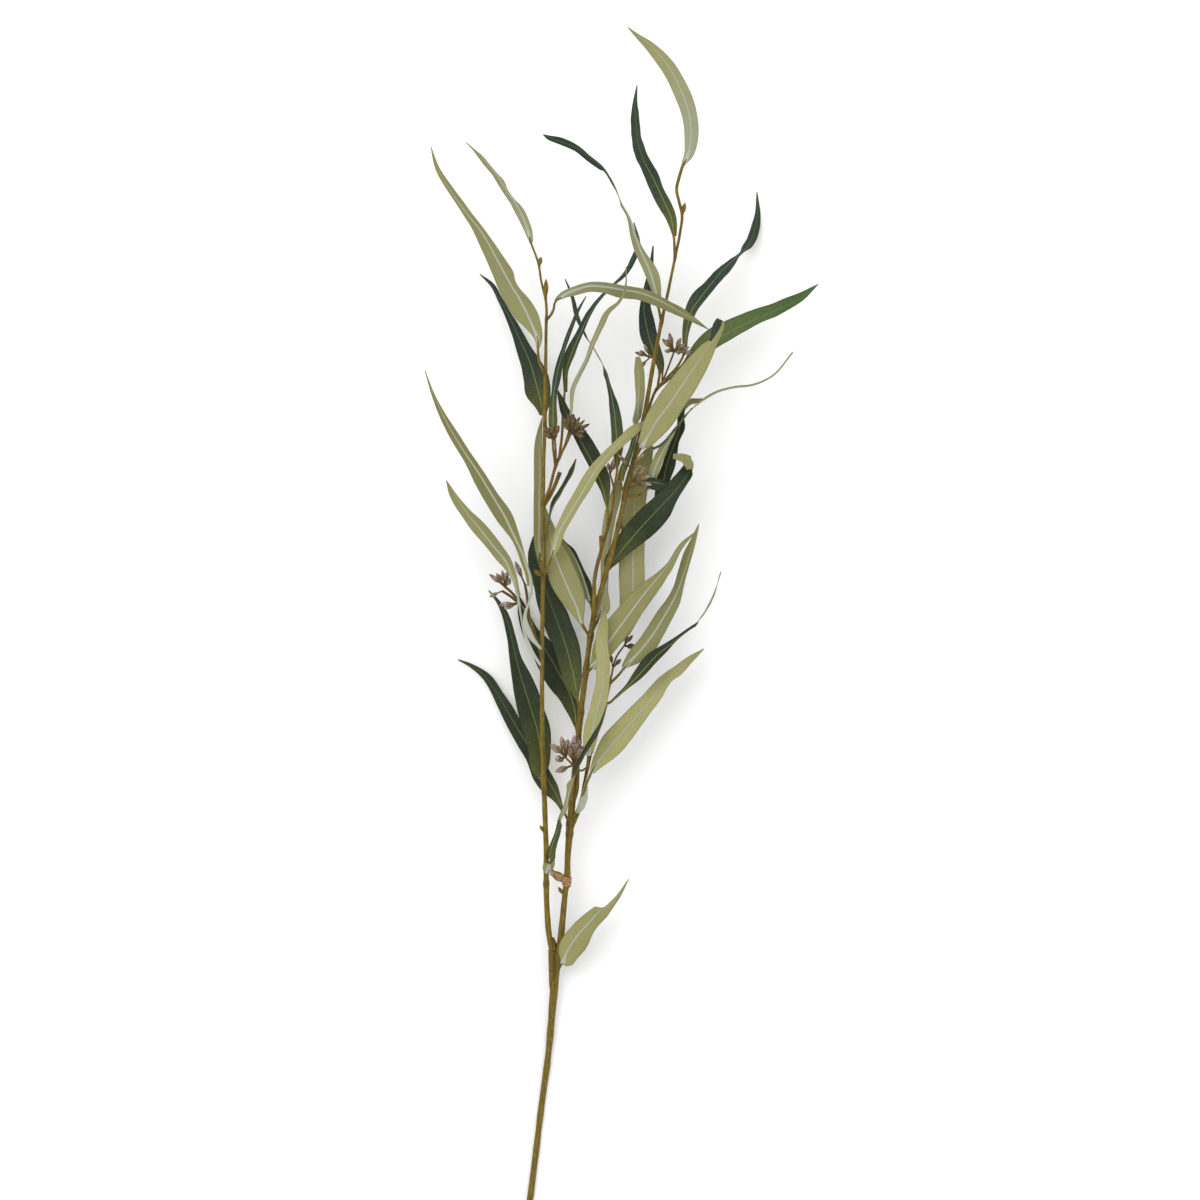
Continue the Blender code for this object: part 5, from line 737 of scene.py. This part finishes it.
def leaf_top_coat():
    graph = Graph("leaf top", 0.5, Sheen_Weight=0.02, Sheen_Roughness=0.4, Specular_IOR_Level=0.2)
    share, tone, tint, rim = read_print(graph)
    side, along = blade_places(graph)
    patches, speckle = graph.noise(42.0, 4.0, 0.6), graph.noise(520.0, 3.0, 0.65)
    body = graph.mix(graph.span(patches, 0.35, 0.65), "2c381c", "37452c")
    body = graph.wash(body, tint, 0.0, 0.3, 0.75, "2a4342")
    body = graph.wash(graph.mix(0.65, body, "141c07"), tone, 0.0, 1.0, 0.9, body)
    body = graph.wash(body, tone, 0.5, 1.0, 0.3, "5a6b4c")
    bright = graph.mix(graph.span(share, 0.15, 0.9), "68763f", "486534")
    body = graph.wash(body, tint, 0.4, 1.0, 1.0, bright)
    rough = graph.math("MULTIPLY", graph.math("SUBTRACT", speckle, 0.5), 0.8)
    foot = graph.math("SUBTRACT", graph.span(share, 0.0, 0.4, 1.0, 0.0), rough, clamp=True)
    body = graph.layer(body, foot, 0.9, graph.mix(tone, "444a1e", "6f7138"))
    body = graph.wash(body, speckle, 0.3, 0.75, 0.3, "161c0e")
    body = graph.wash(body, rim, 0.8, 1.0, 0.35, "1b2410")
    lines = veins(graph, side, along, patches)
    body = graph.layer(body, lines, 0.12, "5b6b4c")
    away = graph.math("ABSOLUTE", side)
    edge = graph.math("MULTIPLY", graph.span(away, 0.18, 0.5, 1.0, 0.0),
                      graph.span(share, 0.1, 0.9, 1.0, 0.25))
    body = graph.layer(body, edge, 0.8, "869052")
    groove = graph.math("MULTIPLY", graph.span(away, 0.0, 0.9, 1.0, 0.0), 1.4)
    height = graph.math("SUBTRACT", cloth(graph, lines, 0.5), groove)
    return graph.paint(body, graph.bump(height, 0.35, 0.0004), graph.span(speckle, 0.2, 0.8, 0.46, 0.62))


def leaf_under_coat():
    graph = Graph("leaf under", 0.75, Sheen_Weight=0.06, Sheen_Roughness=0.5, Specular_IOR_Level=0.2)
    share, tone, tint, rim = read_print(graph)
    side, along = blade_places(graph)
    patches, speckle = graph.noise(55.0, 4.0, 0.6), graph.noise(620.0, 3.0, 0.65)
    dark, pale = graph.mix(patches, "67643a", "7d7a4c"), graph.mix(patches, "a6a26a", "b9b57f")
    body = graph.mix(tone, dark, pale)
    yellow = graph.span(share, 0.05, 0.4, 1.0, 0.0)
    body = graph.layer(body, yellow, 0.4, graph.mix(tone, "97934f", "b9b56c"))
    body = graph.wash(body, share, 0.72, 1.0, 0.4, "7b7a49")
    body = graph.layer(body, tint, graph.span(share, 0.0, 0.8, 0.8, 0.1), "a2aa98")
    body = graph.wash(body, speckle, 0.3, 0.75, 0.3, "7c7c50")
    body = graph.wash(body, rim, 0.86, 1.0, 0.45, "747443")
    lines = veins(graph, side, along, patches)
    body = graph.layer(body, lines, 0.2, "75763f")
    body = graph.layer(body, graph.span(graph.math("ABSOLUTE", side), 0.5, 1.6, 1.0, 0.0), 0.3, "8b8b5a")
    return graph.paint(body, graph.bump(cloth(graph, lines, 0.6), 0.35, 0.0004))


def rib_coat():
    graph = Graph("leaf rib", 0.45, Specular_IOR_Level=0.4)
    share, tone = read_print(graph)[:2]
    grain = graph.noise(1.0, 3.0, 0.6, graph.stretched(400, 400, 90))
    body = graph.mix(grain, "969b84", "b3b7a6")
    body = graph.mix(graph.span(share, 0.0, 0.16, 0.8, 0.0), body, "bcc0b4")
    body = graph.wash(body, share, 0.5, 0.95, 0.7, graph.mix(tone, "8f8e62", "a7a673"))
    return graph.paint(body, graph.bump(grain, 0.25, 0.0003))


def stem_coat():
    graph = Graph("stem", 0.5, Specular_IOR_Level=0.25, Coat_Weight=0.03, Coat_Roughness=0.35)
    _, tone, tint, _ = read_print(graph)
    streaks = graph.noise(1.0, 4.0, 0.65, graph.stretched(900, 110, 900))
    patches = graph.noise(70.0, 4.0, 0.6)
    body = graph.mix(graph.span(streaks, 0.3, 0.7), "594904", "8b7317")
    body = graph.wash(body, patches, 0.45, 0.75, 0.6, "635a1c")
    body = graph.layer(body, tone, 0.8, "463816")
    body = graph.layer(body, tint, 0.85, "52331c")
    for across, small, wide, most in ((330, 0.12, 0.3, 0.5), (560, 0.1, 0.24, 0.45)):
        flecks = graph.node("TexVoronoi", distance="EUCLIDEAN", feature="F1")
        graph.feed(flecks.inputs["Vector"], graph.stretched(across, across * 0.62, across))
        flecks.inputs["Scale"].default_value = 1.0
        fleck = graph.span(flecks.outputs["Distance"], small, wide, 1.0, 0.0)
        fleck = graph.math("MULTIPLY", fleck, graph.span(patches, 0.35, 0.6))
        body = graph.layer(body, fleck, most, "a8955a")
    height = graph.math("ADD", graph.math("MULTIPLY", streaks, 0.7), graph.math("MULTIPLY", fleck, 0.6))
    return graph.paint(body, graph.bump(height, 0.5, 0.0005), graph.span(streaks, 0.2, 0.8, 0.42, 0.62))


def bud_coat():
    graph = Graph("buds", 0.6, Specular_IOR_Level=0.3, Sheen_Weight=0.1, Sheen_Roughness=0.5)
    share, tone, tint, ridge = read_print(graph)
    patches = graph.span(graph.noise(520.0, 3.0, 0.6), 0.34, 0.66)
    grain = graph.noise(1500.0, 2.0, 0.6)
    gold, mauve = graph.mix(patches, "5a450f", "a48e3e"), graph.mix(patches, "785d5b", "cfc3bf")
    bodies = graph.mix(graph.math("MULTIPLY", tint, graph.span(share, 0.45, 0.72)), gold, mauve)
    body = graph.mix(graph.span(share, 0.3, 0.46), graph.mix(patches, "43270f", "776424"), bodies)
    body = graph.layer(body, graph.span(ridge, 0.45, 1.0), 0.85, graph.mix(tint, "4a3612", "4b2d2e"))
    tips = graph.mix(graph.span(tone, 0.25, 0.7), "b99ca0", "33121b")
    body = graph.wash(body, share, 0.72, 0.95, 0.9, tips)
    body = graph.wash(body, tone, 0.6, 1.0, 0.5, "3c1c1a")
    body = graph.wash(body, grain, 0.4, 0.75, 0.35, "57423a")
    return graph.paint(body, graph.bump(grain, 0.3, 0.0003))


def tie_coat():
    graph = Graph("tie", 0.8, Specular_IOR_Level=0.25, Sheen_Weight=0.1, Sheen_Roughness=0.6)
    patches = graph.noise(330.0, 4.0, 0.65)
    fibres = graph.noise(1.0, 3.0, 0.6, graph.stretched(300, 1600, 900))
    body = graph.mix(graph.span(patches, 0.35, 0.62), "b48d5e", "7c5631")
    body = graph.wash(body, fibres, 0.4, 0.7, 0.4, "caa87c")
    return graph.paint(body, graph.bump(fibres, 0.4, 0.0004))


# Meshes

class Build:
    """One object's mesh, with its print values and its map, grown shell by shell."""

    def __init__(self, name, coats):
        self.name = name
        self.coats = coats
        self.work = bmesh.new()
        self.prints = self.work.verts.layers.float_color.new("print")
        self.map = self.work.loops.layers.uv.new("blade")
        self.spots = {}

    def vert(self, point, values, spot=(0.5, 0.0)):
        made = self.work.verts.new((point.x, point.y, max(point.z, 0.0)))
        made[self.prints] = (*values, 0.0)[:4]
        self.spots[made] = spot
        return made

    def face(self, corners, coat=0):
        made = self.work.faces.new(corners)
        made.material_index = coat
        made.smooth = True
        for loop in made.loops:
            loop[self.map].uv = self.spots[loop.vert]
        return made

    def skin(self, rings, coat=0, closed=True, caps=True):
        """Faces between rings of vertices, closed round and at both ends."""
        for low, high in zip(rings, rings[1:]):
            count = len(low)
            for i in range(count if closed else count - 1):
                j = (i + 1) % count
                self.face((low[i], low[j], high[j], high[i]), coat)
        if caps:
            for ring in (rings[0], rings[-1]):
                self.face(ring, coat)

    def done(self, node, body):
        bmesh.ops.recalc_face_normals(self.work, faces=self.work.faces)
        mesh = bpy.data.meshes.new(self.name)
        self.work.to_mesh(mesh)
        self.work.free()
        for coat in self.coats:
            mesh.materials.append(coat)
        piece = add_object(self.name, mesh)
        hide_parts(node)
        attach(piece, body)


def add_object(name, data):
    made = bpy.data.objects.new(name, data)
    bpy.context.scene.collection.objects.link(made)
    return made


def raised(points):
    """The rise that brings the lowest of some points up to the table."""
    return Vector((0, 0, max(-min(point.z for point in points), 0)))


def fullness(half):
    """How much of its channel and waves a blade of this half width has, from 0 to 1."""
    return min(max((half - PETIOLE_WIDE / 2) / FULL_HALF, 0.0), 1.0)


def frames(points):
    """A side and an up vector at each point, carried along without twist."""
    runs = []
    for i in range(len(points)):
        low, high = points[max(i - 1, 0)], points[min(i + 1, len(points) - 1)]
        runs.append((high - low).normalized())
    side = runs[0].cross(Vector((0, 0, 1)))
    side = side.normalized() if side.length > 0.1 else runs[0].orthogonal().normalized()
    found = []
    for run in runs:
        side = (side - run * side.dot(run)).normalized()
        found.append((side, side.cross(run)))
    return found


def add_tube(build, points, radii, values, coat=0, sides=STEM_SIDES, ridge=0.0):
    """A round tube with its own print values at each ring."""
    rings = []
    for (side, up), point, radius, value in zip(frames(points), points, radii, values):
        ring = []
        for k in range(sides):
            angle = 2 * math.pi * k / sides
            reach = radius * (1 + ridge * math.cos(4 * angle))
            shade = (*value, max(math.cos(4 * angle), 0.0)) if ridge else value
            ring.append(build.vert(point + (side * math.cos(angle) + up * math.sin(angle)) * reach, shade))
        rings.append(ring)
    build.skin(rings, coat)


class Stem:
    """A stem of the model with its centre line, its radius, and where others leave it."""

    def __init__(self, name, centre, diameters, root=None):
        self.name = name
        self.path = Path(centre)
        shares = [self.path.nearest(p) / self.path.length for p in centre]
        self.radii = [(s, d * MM / 2) for s, d in zip(shares, diameters)]
        self.root = root
        self.nodes = []

    def radius(self, distance):
        return blend_values(self.radii, distance / self.path.length)

    def seat(self, root, toward, radius):
        """The stem's centre at a root, and where the piece that leaves here starts."""
        distance = self.path.nearest(root)
        along = self.path.tangent(distance)
        centre = self.path.at(distance)
        if distance > self.path.length - END_ROOM:
            return centre, centre + along * GAP
        if root.y > FORK_Y:
            self.nodes.append(distance)
        out = (toward - centre).normalized()
        slant = max(out.cross(along).length, LEAST_SLANT)
        end = centre + out * (self.radius(distance) + radius + GAP) / slant
        return centre, end + out * GAP

    def dress(self, build, tone, tint):
        """A fine tube with swollen nodes and a slightly uneven skin."""
        count = max(4, round(self.path.length / STEM_STEP))
        draw = random.Random(self.name + " skin")
        waves = [(draw.uniform(*SKIN_LONG), draw.uniform(0, 6.28), draw.uniform(*SKIN_DEEP))
                 for _ in range(SKIN_WAVES)]
        points, radii, values = [], [], []
        if self.root is not None:
            points.append(self.root)
            radii.append(self.radius(0) * ROOT_SWELL)
            values.append((0, tone, tint))
        for i, point in enumerate(self.path.spread(count)):
            distance = self.path.length * i / count
            swell = sum(math.exp(-((distance - node) / NODE_LONG) ** 2) for node in self.nodes)
            uneven = sum(a * math.sin(distance / (w * MM / 2) + p) for w, p, a in waves)
            points.append(point)
            radii.append(self.radius(distance) * (1 + NODE_SWELL * min(swell, NODE_MOST) + uneven))
            values.append((i / count, tone, max(min(swell, 1) * NODE_DARK, tint * min(3 * i / count, 1))))
        add_tube(build, points, radii, values)


class Blade:
    """A leaf's blade: its route, its roll, and where its edges lie as seen from above."""

    def __init__(self, name, path, rolls, foot):
        self.name, self.path, self.rolls, self.foot = name, path, rolls, foot
        self.rows = outline(name)
        self.first = max(self.foot + (1 - self.foot) * self.rows[0][0], 0.0)
        self.count = round(path.length * (1 - self.first) / BLADE_STEP)

    def share(self, i):
        return self.first + (1 - self.first) * i / self.count

    def section(self, share):
        """The midrib's place, the side and face directions, and the reach to each edge along the side."""
        distance = share * self.path.length
        along = self.path.tangent(distance)
        right = along.cross(Vector((0, 0, 1))).normalized()
        up = right.cross(along)
        turn = math.radians(blend_values(self.rolls, share))
        side = right * math.cos(turn) + up * math.sin(turn)
        normal = up * math.cos(turn) - right * math.sin(turn)
        on_blade = (share - self.foot) / (1 - self.foot)
        left, other = (flow(self.rows, on_blade, k) * SQUARE for k in (1, 2))
        wide = max(left + other, 2 * LEAST_HALF)
        rib = min(max(0.0, RIB_ROOM * wide - left), other - RIB_ROOM * wide)
        flat = max(abs(math.cos(turn)), LEAST_TURN)
        same = 0.5 + 0.5 * min(max(math.cos(turn) / LEAST_TURN, -1.0), 1.0)
        left, other = (max(reach, LEAST_HALF) / flat for reach in (left + rib, other - rib))
        if share < self.first:
            rib *= share / self.first
        reaches = (same * left + (1 - same) * other, same * other + (1 - same) * left)
        return self.path.at(distance) + right * rib, side, normal, reaches


def add_strand(build, route, coat, tone):
    """A round strand along points given as x, y, height and width."""
    radii = [(i / (len(route) - 1), p[3] * MM) for i, p in enumerate(route)]
    points = Path(drawn(route)).spread(STRAND_STEPS)
    radii = [blend_values(radii, i / STRAND_STEPS) / 2 for i in range(STRAND_STEPS + 1)]
    add_tube(build, points, radii, [(0.6, tone, 0.3)] * len(points), coat, THIN_SIDES)


def add_blade(build, blade, tone, tint):
    """The printed cloth: a channelled, wavy sheet with its top and under side in their own coats."""
    phase = random.Random(blade.name).uniform(0, 2 * math.pi)
    draw = random.Random(blade.name + " edge")
    ruffles = [(draw.uniform(*RUFFLE_LONG), draw.uniform(0, 6.28)) for _ in range(2)]
    tops, lows = [], []
    for i in range(blade.count + 1):
        share = blade.share(i)
        distance = share * blade.path.length
        rib, side, normal, reaches = blade.section(share)
        half = sum(reaches) / 2
        fill = fullness(half)
        channel = CHANNEL_DEEP * half * fill
        top, low, spots = [], [], []
        for u in BLADE_COLUMNS:
            reach = reaches[u > 0]
            shift = WAVE_SHIFT if u > 0 else 0.0
            wave = WAVE_DEEP * half * fill * math.sin(distance / WAVE_LONG + phase + shift)
            pitch, start = ruffles[u > 0]
            fine = RUFFLE_DEEP * half * fill * math.sin(distance / (pitch * MM / 2) + start)
            lift = channel * (abs(u) ** CHANNEL_CURVE - 0.5) + (wave + fine) * abs(u) ** WAVE_CURVE
            point = rib + side * reach * u + normal * lift
            spots.append((0.5 + u * reach / MAP_WIDE,
                          (distance - blade.first * blade.path.length) / MAP_LONG))
            thick = normal * BLADE_THICK / 2 * (1 if abs(u) < 1 else EDGE_THIN)
            top.append(point + thick)
            low.append(point - thick)
        rise = raised(top + low)
        values = [(i / blade.count, tone, tint, abs(u)) for u in BLADE_COLUMNS]
        for points, rows in ((top, tops), (low, lows)):
            rows.append([build.vert(*made) for made in zip([p + rise for p in points], values, spots)])
    build.skin(tops, 0, closed=False, caps=False)
    begin, dark_first = DARK_HALVES.get(blade.name, (1.0, True))
    row, middle = round(begin * blade.count), len(BLADE_COLUMNS) // 2
    build.skin(lows[:row + 1], 1, closed=False, caps=False)
    build.skin([low[:middle + 1] for low in lows[row:]], 0 if dark_first else 1, closed=False, caps=False)
    build.skin([low[middle:] for low in lows[row:]], 1 if dark_first else 0, closed=False, caps=False)
    for rows in zip(tops, lows, tops[1:], lows[1:]):
        for end in (0, -1):
            top, low, next_top, next_low = (row[end] for row in rows)
            build.face((top, low, next_low, next_top), 1)
    for top, low in ((tops[0], lows[0]), (tops[-1], lows[-1])):
        build.face((*top, *reversed(low)), 1)


def rib_size(sizes, t, sleeve):
    """A size of the rib: at its tip, more towards its foot, and more again on its sleeve."""
    return sizes[0] + sizes[1] * (1 - t) + sizes[2] * sleeve


def add_rib(build, blade, tone):
    """The moulded rib: a pale sleeve at the blade's foot, then round and thin towards the tip."""
    last = blade.first + (1 - blade.first) * RIB_END
    begin = blade.first * RIB_BEGIN
    count = round(blade.path.length * (last - begin) / BLADE_STEP)
    rings = []
    for i in range(count + 1):
        t = i / count
        centre, side, normal, reaches = blade.section(begin + (last - begin) * t)
        half = sum(reaches) / 2
        level = centre - normal * (RIB_DEEP * half * fullness(half))
        sleeve = math.exp(-t / SLEEVE_SHARE)
        wide = min(rib_size(RIB_WIDE, t, sleeve) * MM / 2, half * (RIB_MOST + RIB_MOST * sleeve))
        tall = RIB_HEIGHT * rib_size(RIB_TALL, t, sleeve)
        angles = [math.pi * k / RIB_SIDES for k in range(RIB_SIDES + 1)]
        ring = [level + side * wide * math.cos(a) - normal * tall * math.sin(a) for a in angles]
        rise = raised(ring)
        rings.append([build.vert(point + rise, (t, tone, 0)) for point in ring])
    build.skin(rings, 2)


def add_petiole(build, root, blade):
    """The moulded leaf stalk, from inside the stem to under the blade's foot."""
    reach = blade.first + STALK_REACH
    count = max(5, round(blade.path.length * reach / BLADE_STEP))
    points, radii = [root], [PETIOLE_WIDE / 2 * STALK_ROOT]
    for i in range(count + 1):
        centre, _, normal, _ = blade.section(reach * i / count)
        points.append(centre - normal * STALK_DEEP * MM * i / count)
        sleeve = math.exp(-((i / count - SLEEVE_AT) / SLEEVE_LONG) ** 2)
        swell = SLEEVES.get(blade.name, 0.0) * sleeve
        radii.append(PETIOLE_WIDE / 2 * (STALK_WIDE - STALK_TAPER * (i / count) ** 2 + swell))
    values = [(i / len(points) * 0.2, 0.0, 0.3 if i < 2 else 0.1) for i in range(len(points))]
    add_tube(build, points, radii, values, 2 if blade.name in PALE_STALKS else 3, PETIOLE_SIDES)


def dress_leaf(name, stems, coats):
    carrier, foot, route, rolls = LEAVES[name]
    points = drawn(route)
    root, start = stems[carrier].seat(points[0], points[1], PEG_RADIUS)
    blade = Blade(name, Path([start, *points[1:]]), rolls, foot)
    tone, tint = PRINTS[name]
    tone = tone / 2 + 0.5
    build = Build(name + "_dressed", coats)
    add_blade(build, blade, tone, tint)
    add_rib(build, blade, tone)
    add_petiole(build, root, blade)
    if name in STRIPS:
        add_strand(build, STRIPS[name], 0, 0.0)
    build.done(name, "root")


# The forms of a bud and of a side bud: shares from root to tip, and the radius there as a share
BUD_FORM = ((0, 0.36), (0.34, 0.32), (0.44, 0.66), (0.56, 0.95), (0.66, 1.0), (0.8, 0.8),
            (0.93, 0.4), (1, 0.05))
SIDE_BUD_FORM = ((0, 0.45), (0.25, 0.5), (0.45, 0.85), (0.62, 1.0), (0.8, 0.75), (0.93, 0.38), (1, 0.08))
BUD_RIDGE = 0.2


def add_bud(build, form, start, tip, radius, look, *shape):
    """A pointed bud from start to tip, whose look is its tone and tint."""
    points = [start.lerp(tip, share) for share, _ in form]
    radii = [radius * size for _, size in form]
    add_tube(build, points, radii, [(share, *look) for share, _ in form], *shape)


def add_head(build, hub, tips, draw, look):
    """A fan of ridged buds at their drawn places, some with a shorter one behind."""
    start = place(*hub)
    for x, y in tips:
        front = place(x, y, hub[2] + draw.uniform(-2.5, 5.0))
        turn = Matrix.Rotation(draw.choice((-1, 1)) * draw.uniform(0.22, 0.4), 3, "Z")
        back = start + turn @ (front - start) * draw.uniform(0.66, 0.86) - Vector((0, 0, 3.5 * MM))
        for tip, size in ((front, 1.0), (back, 0.8))[:1 + (draw.random() < look["behind"])]:
            shade = min(max(look["dark"] + draw.uniform(-0.35, 0.35), 0), 1)
            mauve = min(max(look["mauve"] + draw.uniform(-0.3, 0.3), 0), 1)
            radius = look["wide"] / 2 * MM * size * draw.uniform(0.85, 1.15)
            add_bud(build, BUD_FORM, start, tip, radius, (shade, mauve), 1, BUD_SIDES, BUD_RIDGE)


def seated_stem(name, parent, root, route):
    points = drawn(route)
    radius = max(route[0][3] * MM / 2, PEG_RADIUS)
    centre, start = parent.seat(place(*root), points[0], radius)
    return Stem(name, [start, *points], [route[0][3], *(p[3] for p in route)], centre)


def make_stems():
    main = Stem("stem_main", drawn(MAIN_ROUTE), [p[3] for p in MAIN_ROUTE])
    stems = {"stem_main": main}
    for name, root, route in (("stem_left", LEFT_ROOT, LEFT_ROUTE),
                              ("twig_middle", TWIG_MIDDLE_ROOT, TWIG_MIDDLE_ROUTE),
                              ("twig_low", TWIG_LOW_ROOT, TWIG_LOW_ROUTE)):
        stems[name] = seated_stem(name, main, root, route)
    for name, spec in CLUSTERS.items():
        stems[name] = seated_stem(name, stems[spec["carrier"]], spec["stalk"][0], spec["stalk"][1:])
    return stems


def dress_stems(stems, coats):
    """The stems with their side buds and stubs, and the bud heads on their stalks."""
    for name, stem in stems.items():
        build = Build(name + "_dressed", coats)
        cluster = CLUSTERS.get(name, {})
        stem.dress(build, 0.15 if name == "stem_main" else 0.0, STEM_TINTS.get(name, 0.0))
        for start, tip, radius in SIDE_BUDS.get(name, ()):
            add_bud(build, SIDE_BUD_FORM, place(*start), place(*tip), radius * MM, (0.1, 0.15))
        if name in STUBS:
            add_stub(build, *STUBS[name])
        for coat, tone, route in EXTRAS.get(name, ()):
            add_strand(build, route, coat, tone)
        for branch in cluster.get("branches", ()):
            points = Path(drawn(branch)).spread(STUB_STEPS)
            radii = [BRANCH_RADII.get(name, BRANCH_RADIUS)] * len(points)
            values = [(i / STUB_STEPS, 0, 0.85) for i in range(len(points))]
            add_tube(build, points, radii, values, 0, THIN_SIDES)
        draw = random.Random(name)
        for hub, tips in cluster.get("hubs", ()) or TWIG_HUBS.get(name, ()):
            add_head(build, hub, tips, draw, HEADS[name])
        build.done(name, "root")


def add_stub(build, route, wide):
    """A stub of a side stem, a little thicker and darker at its cut end."""
    shares = [i / STUB_STEPS for i in range(STUB_STEPS + 1)]
    radii = [wide * MM / 2 * (0.8 + 0.2 * share) for share in shares]
    values = [(share, 0, 0.1 if share < STUB_DARK else 0.6) for share in shares]
    add_tube(build, Path(drawn(route)).spread(STUB_STEPS), radii, values)


def dress_tie(stems, coats):
    """A paper strip wound round the stem in overlapping turns, with a loose tail."""
    main = stems["stem_main"]
    distance = main.path.nearest(place(*TIE_MIDDLE))
    along = main.path.tangent(distance)
    side = along.cross(Vector((0, 0, 1))).normalized()
    up = side.cross(along)
    build = Build("tie_dressed", coats)
    rings = []
    for i in range(TIE_STEPS + 1):
        share = i / TIE_STEPS
        angle = 2 * math.pi * TIE_TURNS * share
        drift = (share - 0.5) * TIE_TALL
        radius = main.radius(distance) + (0.55 + 0.12 * math.sin(angle * 2.3) + 0.25 * share) * MM
        middle = main.path.at(distance + drift)
        out = side * math.cos(angle) + up * math.sin(angle)
        half = (2.0 + 0.25 * math.sin(angle * 1.7)) * MM
        ring = [middle + out * (radius + rise * MM) + along * half * way for rise, way in TIE_SECTION]
        rings.append([build.vert(p, (share, 0, 0)) for p in ring])
    build.skin(rings)
    start, end = drawn(TIE_TAIL)
    across = (end - start).normalized().cross(Vector((0, 0, 1))).normalized()
    rings = []
    for i in range(TIE_TAIL_STEPS + 1):
        share = i / TIE_TAIL_STEPS
        point = start.lerp(end, share) + Vector((0, 0, 0.5 * MM * math.sin(share * 7)))
        half = (3.4 - 0.5 * math.sin(share * 9) - 0.4 * share) * MM
        ring = [point - across * half, point + Vector((0, 0, 0.45 * MM)), point + across * half,
                point - Vector((0, 0, 0.3 * MM))]
        rings.append([build.vert(p, (share, 0, 0)) for p in ring])
    build.skin(rings)
    build.done("tie", "root")


# Studio

def make_floor():
    mesh = bpy.data.meshes.new("floor")
    half = TABLE_SIDE / 2
    corners = [(-half, -half, 0), (half, -half, 0), (half, half, 0), (-half, half, 0)]
    mesh.from_pydata(corners, [], [(0, 1, 2, 3)])
    graph = Graph("floor", 0.9, Specular_IOR_Level=0.1)
    paper = graph.mix(graph.noise(3.0), (0.99, 0.99, 0.99), (0.97, 0.97, 0.97))
    mesh.materials.append(graph.paint(paper))
    add_object("floor", mesh)


def make_lights():
    world = bpy.data.worlds.new("studio")
    world.use_nodes = True
    sky = world.node_tree.nodes["Background"].inputs
    sky["Color"].default_value = (1, 1, 1, 1)
    sky["Strength"].default_value = SKY_LIGHT * EXTRA_LIGHT
    bpy.context.scene.world = world
    for name, spot, size, power in LAMPS:
        data = bpy.data.lights.new(name, "AREA")
        data.shape = "SQUARE"
        data.size = size
        data.energy = power * EXTRA_LIGHT
        lamp = add_object(name, data)
        lamp.location = spot
        lamp.rotation_mode = "QUATERNION"
        lamp.rotation_quaternion = (Vector((0, 0, 0)) - Vector(spot)).to_track_quat("-Z", "Y")


def make_camera():
    data = bpy.data.cameras.new("camera")
    data.lens = LENS_MM
    data.sensor_width = SENSOR_MM
    data.clip_end = 200
    camera = add_object("camera", data)
    camera.location = place(PICTURE_MIDDLE, PICTURE_MIDDLE, 0) + Vector((0, 0, CAMERA_HEIGHT + SHARP_HEIGHT))
    bpy.context.scene.camera = camera


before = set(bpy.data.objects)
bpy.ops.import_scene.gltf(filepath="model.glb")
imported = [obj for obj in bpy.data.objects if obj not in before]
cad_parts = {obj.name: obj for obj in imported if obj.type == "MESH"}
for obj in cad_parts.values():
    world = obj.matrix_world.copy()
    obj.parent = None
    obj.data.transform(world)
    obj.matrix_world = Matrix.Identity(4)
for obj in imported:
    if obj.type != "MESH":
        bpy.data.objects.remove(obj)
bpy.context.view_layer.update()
stems = make_stems()
stem_material, bud_material = stem_coat(), bud_coat()
leaf_coats = [leaf_top_coat(), leaf_under_coat(), rib_coat(), stem_material]
for leaf_name in LEAVES:
    dress_leaf(leaf_name, stems, leaf_coats)
dress_stems(stems, [stem_material, bud_material, leaf_coats[2]])
dress_tie(stems, [tie_coat()])
make_floor()
make_lights()
make_camera()
bpy.context.scene.view_settings.view_transform = "Standard"
